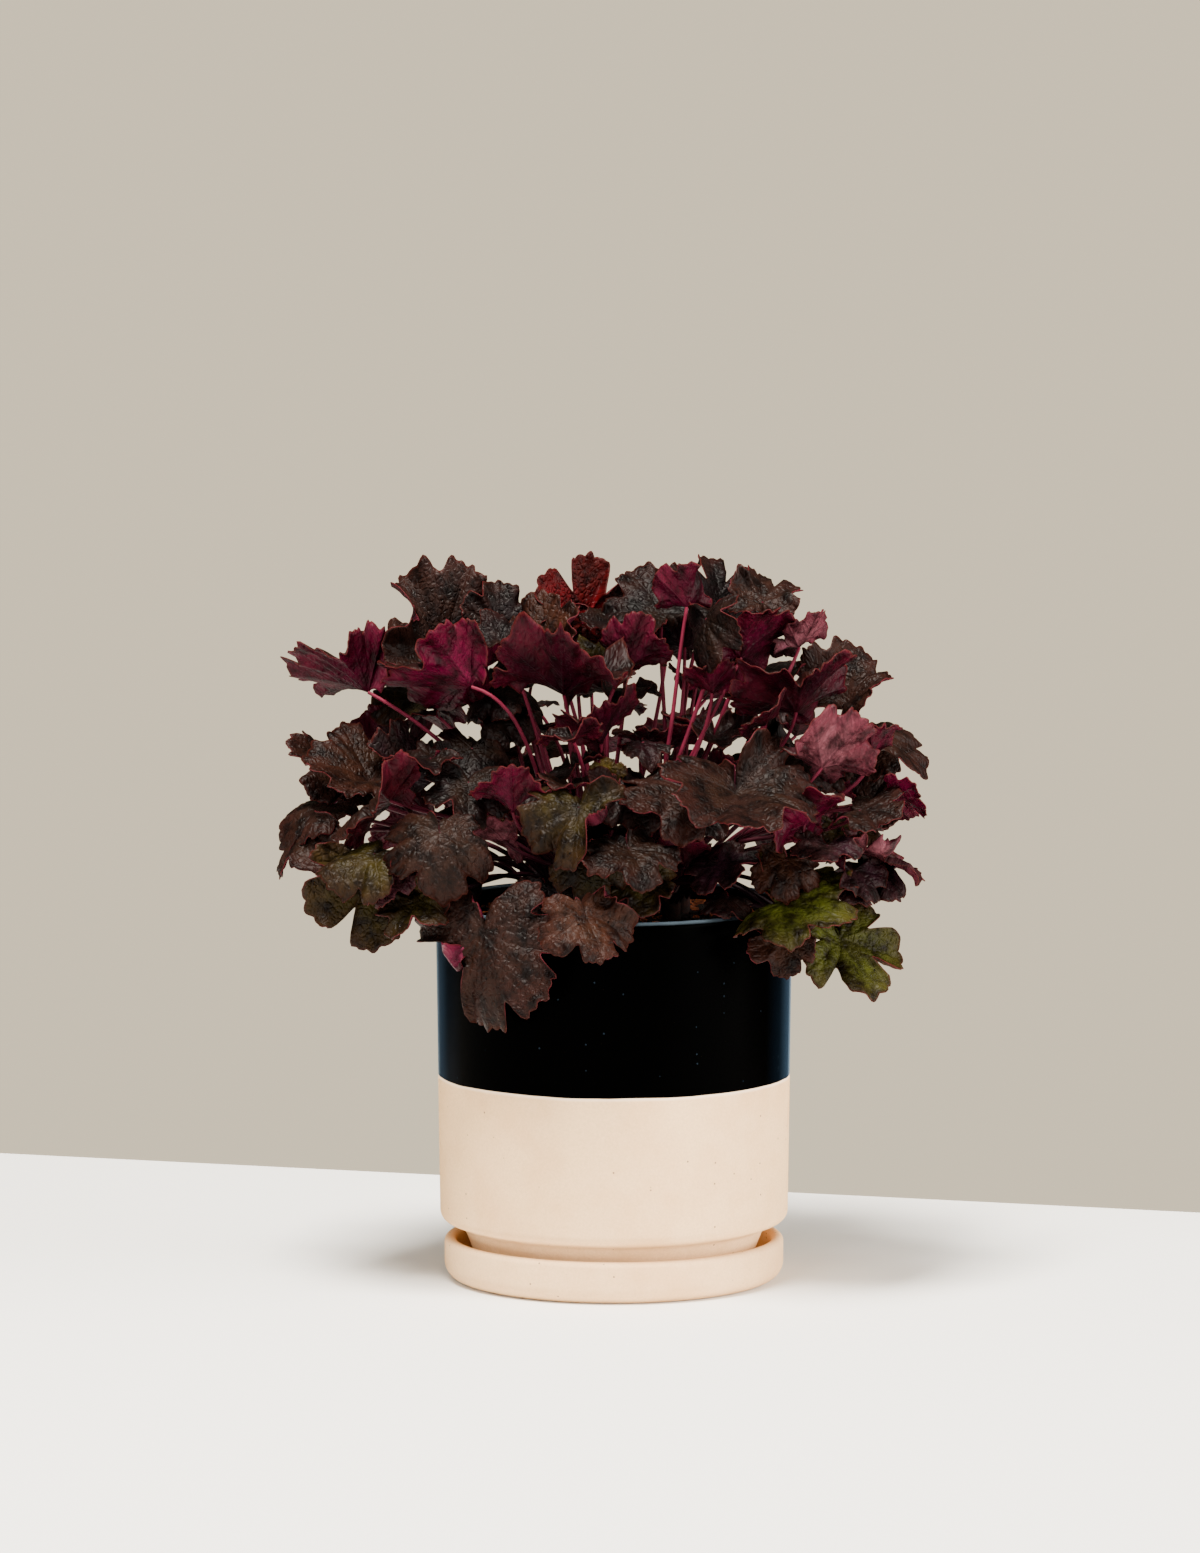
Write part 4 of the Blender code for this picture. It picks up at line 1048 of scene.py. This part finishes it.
def leaf_skin(skin):
    """One side of the leaves.

    A depth above zero makes the veins furrows, and one below zero makes them stand out.
    """
    matt, tree, shader = new_material(skin.name)
    own = add(tree, "ShaderNodeAttribute", attribute_name=skin.tint)
    flat = add(tree, "ShaderNodeUVMap", uv_map="flat")
    way_out, off_rib, off_side, off_small = vein_distances(tree, flat)
    cloud = add(
        tree, "ShaderNodeTexNoise", {"Scale": FLAT_UNIT / LEAF_CLOUD, "Detail": 5.0, "Roughness": 0.62},
        {"Vector": flat},
    )
    wide_cloud = add(
        tree, "ShaderNodeTexNoise", {"Scale": FLAT_UNIT / CAST_CLOUD, "Detail": 3.0}, {"Vector": flat},
    )
    cells = add(tree, "ShaderNodeTexVoronoi", {"Scale": FLAT_UNIT / PIT_GRID}, {"Vector": flat})
    # Soft steps: what is read, where the step starts and ends, and its value before and after.
    rib, side_vein, small_vein, pucker, patch, elsewhere, outer, margin, pit = [
        add(
            tree, "ShaderNodeMapRange", {"From Min": start, "From Max": end, "To Min": low, "To Max": high},
            {"Value": source}, interpolation_type="SMOOTHSTEP",
        )
        for source, start, end, low, high in (
            (off_rib, 0.006, 0.035, 1.0, 0.0),
            (off_side, 0.02, 0.16, 1.0, 0.0),
            (off_small, 0.0, 0.16, 1.0, 0.0),
            (off_small, 0.0, 0.32, 0.0, 1.0),
            (cloud, 0.36, 0.68, 0.0, 1.0),
            (wide_cloud, 0.42, 0.66, 0.0, 0.55),
            (way_out, 0.45, 1.0, 0.0, 0.5),
            (way_out, 0.955, 1.0, 0.0, 0.65),
            (cells, 0.08, 0.17, 1.0, 0.0),
        )
    ]
    fainter = add(tree, "ShaderNodeMath", {1: 0.5}, {0: small_vein}, operation="MULTIPLY")
    side_faint = add(tree, "ShaderNodeMath", {1: 0.7}, {0: side_vein}, operation="MULTIPLY")
    both = add(tree, "ShaderNodeMath", links={0: fainter, 1: side_faint}, operation="MAXIMUM")
    veins = add(tree, "ShaderNodeMath", links={0: rib, 1: both}, operation="MAXIMUM")
    veined = add(tree, "ShaderNodeMath", {1: skin.vein_share}, {0: veins}, operation="MULTIPLY")
    chosen = add(tree, "ShaderNodeSeparateColor", links={"Color": cells.outputs["Color"]})
    rare = add(tree, "ShaderNodeMath", {1: 1 - skin.pits}, {0: chosen}, operation="GREATER_THAN")
    pit_with_painted_shade = add(tree, "ShaderNodeMath", links={0: pit, 1: rare}, operation="MULTIPLY")
    colour = own
    # The pits are painted near black (#060303), as shade in their hollows.
    for amount, code, blend in (
        (elsewhere, skin.cast, "MIX"), (outer, skin.blush, "MIX"), (patch, skin.mottle, "MULTIPLY"),
        (veined, skin.vein, "MIX"), (margin, skin.rim, "MIX"), (pit_with_painted_shade, "#060303", "MIX"),
    ):
        colour = add(
            tree, "ShaderNodeMix", {7: linear(code)}, {0: amount, 6: colour},
            data_type="RGBA", blend_type=blend,
        )
    gloss = add(
        tree, "ShaderNodeMapRange", {"To Min": skin.roughness, "To Max": PIT_GLOSS}, {"Value": pit_with_painted_shade},
        interpolation_type="SMOOTHSTEP",
    )
    grain = add(
        tree, "ShaderNodeTexNoise", {"Scale": FLAT_UNIT / LEAF_GRAIN, "Detail": 3.0}, {"Vector": flat},
    )
    height = pucker
    for source, share in (
        (grain, 0.3), (side_vein, -0.5 * skin.ribs), (rib, -1.2 * skin.ribs), (pit_with_painted_shade, -1.5),
    ):
        height = add(tree, "ShaderNodeMath", {1: share}, {0: source, 2: height}, operation="MULTIPLY_ADD")
    relief = add(tree, "ShaderNodeBump", {"Strength": 0.8, "Distance": skin.depth}, {"Height": height})
    feed(shader, {"Base Color": colour, "Roughness": gloss, "Normal": relief})
    settle(shader, {"IOR": 1.42, "Specular IOR Level": skin.specular})
    return matt


upper_skin = leaf_skin(Skin(
    "upper leaf skin", "upper_tint", cast="#180D06", blush="#1E0907", mottle="#5A4032", rim="#2C0E0A",
    vein="#0A0404", vein_share=0.12, ribs=0.4, pits=0.14, roughness=0.48, depth=0.42 * MM, specular=0.08,
))
under_skin = leaf_skin(Skin(
    "under leaf skin", "under_tint", cast="#34060F", blush="#46081C", mottle="#5E3E48", rim="#38100E",
    vein="#1C0008", vein_share=0.45, ribs=1.0, pits=0.0, roughness=0.45, depth=-0.25 * MM, specular=0.08,
))
print("made", upper_skin.name, "and", under_skin.name)

# %% Stalk and stem materials
STALK_CLOUD = 7 * MM
STALK_SHADE_TOP = 0.27  # the stalks are painted nearly black in the heart of the plant, as shade, and redder above this

stalk_skin, tree, shader = new_material("wine-red stalk")
spot = add(tree, "ShaderNodeTexCoord").outputs["Object"]
cloud = add(tree, "ShaderNodeTexNoise", {"Scale": 1 / STALK_CLOUD, "Detail": 3.0}, {"Vector": spot})
red = add(
    tree, "ShaderNodeMix", {6: linear("#3C0818"), 7: linear("#641A2E")}, {0: cloud}, data_type="RGBA",
)
height = add(tree, "ShaderNodeSeparateXYZ", links={"Vector": spot}).outputs["Z"]
out_of_painted_shade = add(
    tree, "ShaderNodeMapRange", {"From Min": SHOOT_TOP * MM, "From Max": STALK_SHADE_TOP},
    {"Value": height}, interpolation_type="SMOOTHSTEP",
)
# Painted shade: below that height the stalks turn near black (#0E0206).
colour = add(tree, "ShaderNodeMix", {6: linear("#0E0206")}, {0: out_of_painted_shade, 7: red}, data_type="RGBA")
feed(shader, {"Base Color": colour})
settle(shader, {"Roughness": 0.5, "Specular IOR Level": 0.08})
stem_bark = earthy("scaly crown", "#140806", "#3A1A12", 0.85)
print("made", stalk_skin.name, "and", stem_bark.name)

# %% [markdown]
# ## Making the leaves
#
# A flat net is the blank for every leaf: a grid whose long side goes round the stalk and whose short
# side runs out to the margin. Small leaves take one with fewer cells. Each leaf's copy takes the place
# of the plain blade by the formula, with what the plain one leaves out. A leaf's margin grows faster than
# its middle, so it has to ruffle: a wide wave with narrower ones on it. Each scale is a row of random
# heights round the stalk, joined by soft curves, and the narrower the wave, the nearer it keeps to the
# margin. Then come round teeth, lobes that curl and lean, furrows along the ribs, and a pucker. On some
# leaves one lobe turns over, so that its lower skin shows.
# The copies of one shoot become one sheet, and a Solidify modifier gives it two skins.

# %% The blanks
SLIT = 0.05  # a leaf's two back lobes stay this far apart, in radians
SMALL_LEAF = 27.0  # leaves under this size take the coarser blank

Blank = namedtuple("Blank", "shape angles shares")


def blade_blank(name, around, outward):
    """A flat net with that many cells round the stalk and out to the margin."""
    deselect()
    bpy.ops.mesh.primitive_grid_add(
        x_subdivisions=around, y_subdivisions=outward, size=1, location=(0, 0, 0),
    )
    made = bpy.context.object
    made.name = name
    points = points_of(made.data)
    print(name, "has", len(points), "points")
    return Blank(made, -2 * points[:, 0] * (math.pi - SLIT / 2), np.clip(points[:, 1] + 0.5, 0, 1) ** 0.8)


large_blank = blade_blank("large_leaf_blank", 192, 11)
small_blank = blade_blank("small_leaf_blank", 112, 9)


# %% Waves, teeth and turned-over lobes
ROLL_START = 0.4  # share of the way out where a lobe that turns over begins to roll
ROLL_RADIUS = 4.0  # mm, of the turn itself
ROLL_WIDTH = 0.75  # the roll fades out over this many lobes to each side


def ripples(turn, per_lobe, height, draw):
    """Random heights at even steps round the stalk, joined by soft curves."""
    knots = np.array([draw.uniform(-height, height) for _ in range(9 * per_lobe + 2)])
    place = (turn + 4.5) * per_lobe
    low = np.floor(place).astype(int)
    ease = 0.5 - 0.5 * np.cos(math.pi * (place - low))
    return knots[low] * (1 - ease) + knots[low + 1] * ease


def scalloped(turn, count, depth):
    """A margin with that many round teeth to a lobe, as shares of the way out."""
    return 1 - depth * (1 - np.abs(np.cos(count * math.pi * turn)))


def rolled(turn, out, broad, lobe, roll):
    """The way out and the height of points whose lobe rolls up and over by that many radians."""
    start = ROLL_START * broad
    limit = roll * np.clip(1 - ((turn - lobe) / ROLL_WIDTH) ** 2, 0, 1)
    past = np.maximum(out - start, 0)
    bent = np.minimum(past / ROLL_RADIUS, limit)
    after = past - bent * ROLL_RADIUS
    way = np.minimum(out, start) + ROLL_RADIUS * np.sin(bent) + after * np.cos(bent)
    return way, ROLL_RADIUS * (1 - np.cos(bent)) + after * np.sin(bent)


# %% Fine form of a blade
ROUND_LOBES = 6.0  # the higher, the rounder the lobes and the narrower the cuts between them
FULL_BACK = 1.6  # how far round the back lobes come
# The cuts between lobes, as shares of the plain leaf's: a dished leaf's lobes overlap.
FINE_CUTS = {"funnel": 0.5, "bowl": 0.6, "flat": 0.8, "drape": 0.75, "oak": 1.0}
SOFTER_FOLD = 0.075  # how much of the plain leaf's fold along each lobe is smoothed out
LEANING = 0.10  # radians by which a lobe may lean to a side
LONGER = 0.08  # share by which a lobe may be longer or shorter
TEETH = [(3, 0.05), (6, 0.06)]  # how many there are to a lobe, and their depth as a share of its length
CURL = 0.15  # height of a curled margin, as a share of the leaf's size
DRAWN_IN = 0.45  # how far the curl draws the margin in, as a share of that height
# The waves: how near the margin they keep, how many there are to a lobe, and their height as a share of
# the leaf's size.
WAVES = [(2, 2, 0.07), (4, 4, 0.065), (7, 9, 0.038)]
FURROW_DEPTH = 0.35  # mm, of the furrow along a rib
FURROW_WIDTH = 1.5
PUCKER_HEIGHT = 0.5  # mm, of the puckers between the ribs
# Leaves whose turned-over lobe the photograph shows: the lobe, and how far it rolls in radians.
ROLLED = {0: (-1, 2.3), 1: (2, 2.3)}
SIDE_LOBES = [-2, -1, 1, 2]
ROLLS = [0, 0, 0, 0.9, 1.9]


def fine_blade(leaf, key, blank):
    """The leaf's points in metres, its place on the flat blade in centimetres, and its lobe count."""
    draw = random.Random(key)
    step = lobe_step(leaf)
    share = blank.shares
    turn = blank.angles / step
    angle = blank.angles + share * ripples(turn, 1, LEANING, draw)
    margin = 1 + ripples(turn, 1, LONGER, draw)
    for count, depth in TEETH:
        margin = margin * scalloped(turn + 0.04 * np.sin(5 * turn + key), count, depth)
    curl = ripples(turn, 1, CURL, draw)
    broad = reach(leaf, blank.angles, ROUND_LOBES, FINE_CUTS[leaf.form], FULL_BACK)
    out = share * broad * (1 + (margin - 1) * share ** 2)
    out = out - leaf.size * DRAWN_IN * np.abs(curl) * share ** 4
    by_chance = (draw.choice(SIDE_LOBES), draw.choice(ROLLS))
    out, lift = rolled(turn, out, broad, *ROLLED.get(key, by_chance))
    wave = share ** 4 * curl + share ** 2 * SOFTER_FOLD * np.cos(2 * math.pi * turn + 0.5 * math.sin(key))
    for nearness, per_lobe, height in WAVES:
        wave = wave + share ** nearness * ripples(turn, per_lobe, height, draw)
    flat = np.stack([out * np.cos(angle), out * np.sin(angle)], 1)
    off_rib = np.abs(turn - np.round(turn)) * step * out
    furrow = np.exp(-(off_rib / FURROW_WIDTH) ** 2) * np.sin(math.pi * np.minimum(share * 1.1, 1)) ** 0.5
    a, b = draw.uniform(0, 6), draw.uniform(0, 6)
    pucker = np.sin(flat[:, 0] * 0.8 + a) * np.sin(flat[:, 1] * 0.85 + b) * np.minimum(share * 2, 1)
    lift = lift + leaf.size * wave - FURROW_DEPTH * furrow + PUCKER_HEIGHT * pucker
    offset = np.array([draw.uniform(0, 50), draw.uniform(0, 50)])
    return blade_points(leaf, key, angle, share, out, lift) * MM, flat / 10 + offset, turn


# %% Stalks
def stalks(name, leaves):
    """A curve with one spline for each stalk, turned into a mesh."""
    line = bpy.data.curves.new(name, "CURVE")
    line.dimensions = "3D"
    line.bevel_depth = STALK_RADIUS * MM
    line.bevel_resolution = 2
    line.resolution_u = 18
    line.use_fill_caps = True
    for leaf, _, stem, place in leaves:
        foot, lift, before, end = (point * MM for point in stalk_controls(leaf, stem, place))
        spline = line.splines.new("BEZIER")
        spline.bezier_points.add(1)
        first, last = spline.bezier_points
        first.co, first.handle_left, first.handle_right = foot, foot * 2 - lift, lift
        last.co, last.handle_left, last.handle_right = end, before, end * 2 - before
        first.radius = 1.25
        last.radius = 0.8
    made = bpy.data.objects.new(name, line)
    bpy.context.scene.collection.objects.link(made)
    select_only(made)
    bpy.ops.object.convert(target="MESH")
    bpy.ops.object.shade_smooth()
    return bpy.context.object


# %% Woody stem
STEM_TOP_ROUND = 1.2


def woody_stem(name, stem):
    """A short scaly stem, from its hole in the soil up to the stalks' feet."""
    x, y = stems()[stem]
    deselect()
    bpy.ops.mesh.primitive_cylinder_add(
        vertices=20, radius=SHOOT_RADIUS * MM, depth=(SHOOT_TOP - STEM_FOOT) * MM, location=(0, 0, 0),
    )
    made = bpy.context.object
    made.name = name
    bpy.ops.object.mode_set(mode="EDIT")
    bpy.ops.transform.translate(value=(x * MM, y * MM, (SHOOT_TOP + STEM_FOOT) / 2 * MM))
    bpy.ops.object.mode_set(mode="OBJECT")
    bevel = made.modifiers.new("soft top", "BEVEL")
    bevel.width = STEM_TOP_ROUND * MM
    bevel.segments = 3
    bpy.ops.object.modifier_apply(modifier="soft top")
    bpy.ops.object.shade_smooth_by_angle(angle=math.radians(40))
    return made


# %% Grow the shoots
LEAF_THICKNESS = 0.45
HUB_MERGE = 0.002 * MM  # the blank's inner row of points all meets at the stalk
SHADES = (0.65, 1.25)  # each leaf's tint is multiplied by a number between these


def leaf_sheets(name, leaves, blank):
    """Blades of one shoot, as one mesh with two skins, its tints and its UV maps."""
    formed = [fine_blade(leaf, key, blank) for leaf, key, _, _ in leaves]
    made = gathered(name, blank.shape.data, [points for points, _, _ in formed])
    corners = np.empty(len(made.data.loops), int)
    made.data.loops.foreach_get("vertex_index", corners)
    flat = np.concatenate([places for _, places, _ in formed])
    lobes = np.concatenate([np.stack([turn, blank.shares], 1) for _, _, turn in formed])
    for title, values in (("lobes", lobes), ("flat", flat)):
        layer = made.data.uv_layers.new(name=title)
        layer.data.foreach_set("uv", values[corners].ravel())
    for title, tints in (("upper_tint", UPPER_TINTS), ("under_tint", UNDER_TINTS)):
        layer = made.data.color_attributes.new(title, "FLOAT_COLOR", "POINT")
        values = []
        for leaf, key, _, _ in leaves:
            shade = random.Random(1000 + key).uniform(*SHADES)
            tint = [part * shade for part in linear(tints[leaf.colour])[:3]] + [1]
            values.append(np.tile(tint, (len(blank.shares), 1)))
        layer.data.foreach_set("color", np.concatenate(values).ravel())
    select_only(made)
    bpy.ops.object.mode_set(mode="EDIT")
    bpy.ops.mesh.select_all(action="SELECT")
    bpy.ops.mesh.remove_doubles(threshold=HUB_MERGE)
    bpy.ops.object.mode_set(mode="OBJECT")
    made.data.materials.append(upper_skin)
    made.data.materials.append(under_skin)
    skins = made.modifiers.new("two skins", "SOLIDIFY")
    skins.thickness = LEAF_THICKNESS * MM
    skins.offset = 0
    skins.material_offset = 1
    skins.material_offset_rim = 1
    bpy.ops.object.modifier_apply(modifier="two skins")
    bpy.ops.object.shade_smooth()
    return made


faces = 0
for name, stem in zip(shoot_names, shoot_stems):
    large = [each for each in grown[name] if each[0].size >= SMALL_LEAF]
    small = [each for each in grown[name] if each[0].size < SMALL_LEAF]
    pieces = []
    if large:
        pieces.append(leaf_sheets(name + "_leaves", large, large_blank))
    if small:
        pieces.append(leaf_sheets(name + "_small_leaves", small, small_blank))
    stalk_set = stalks(name + "_stalks", grown[name])
    stalk_set.data.materials.clear()
    stalk_set.data.materials.append(stalk_skin)
    wood = woody_stem(name + "_stem", stem)
    wood.data.materials.append(stem_bark)
    grown_shoot = pieces[0]
    select_only(grown_shoot)
    for piece in pieces + [stalk_set, wood]:
        piece.select_set(True)
    bpy.ops.object.join()
    grown_shoot.name = name + "_leaves"
    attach(grown_shoot, "root")
    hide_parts(name)
    faces += sum(len(face.vertices) - 2 for face in grown_shoot.data.polygons)
for blank in (large_blank, small_blank):
    bpy.data.objects.remove(blank.shape)
print("shoots:", len(shoot_names), "with", faces, "triangles")

# %% Sizes, and the finished scene
scene_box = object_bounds()
for title, (low, high) in (("packed", cad_box), ("dressed", scene_box)):
    print(title, [round(v / MM, 1) for v in low], [round(v / MM, 1) for v in high])
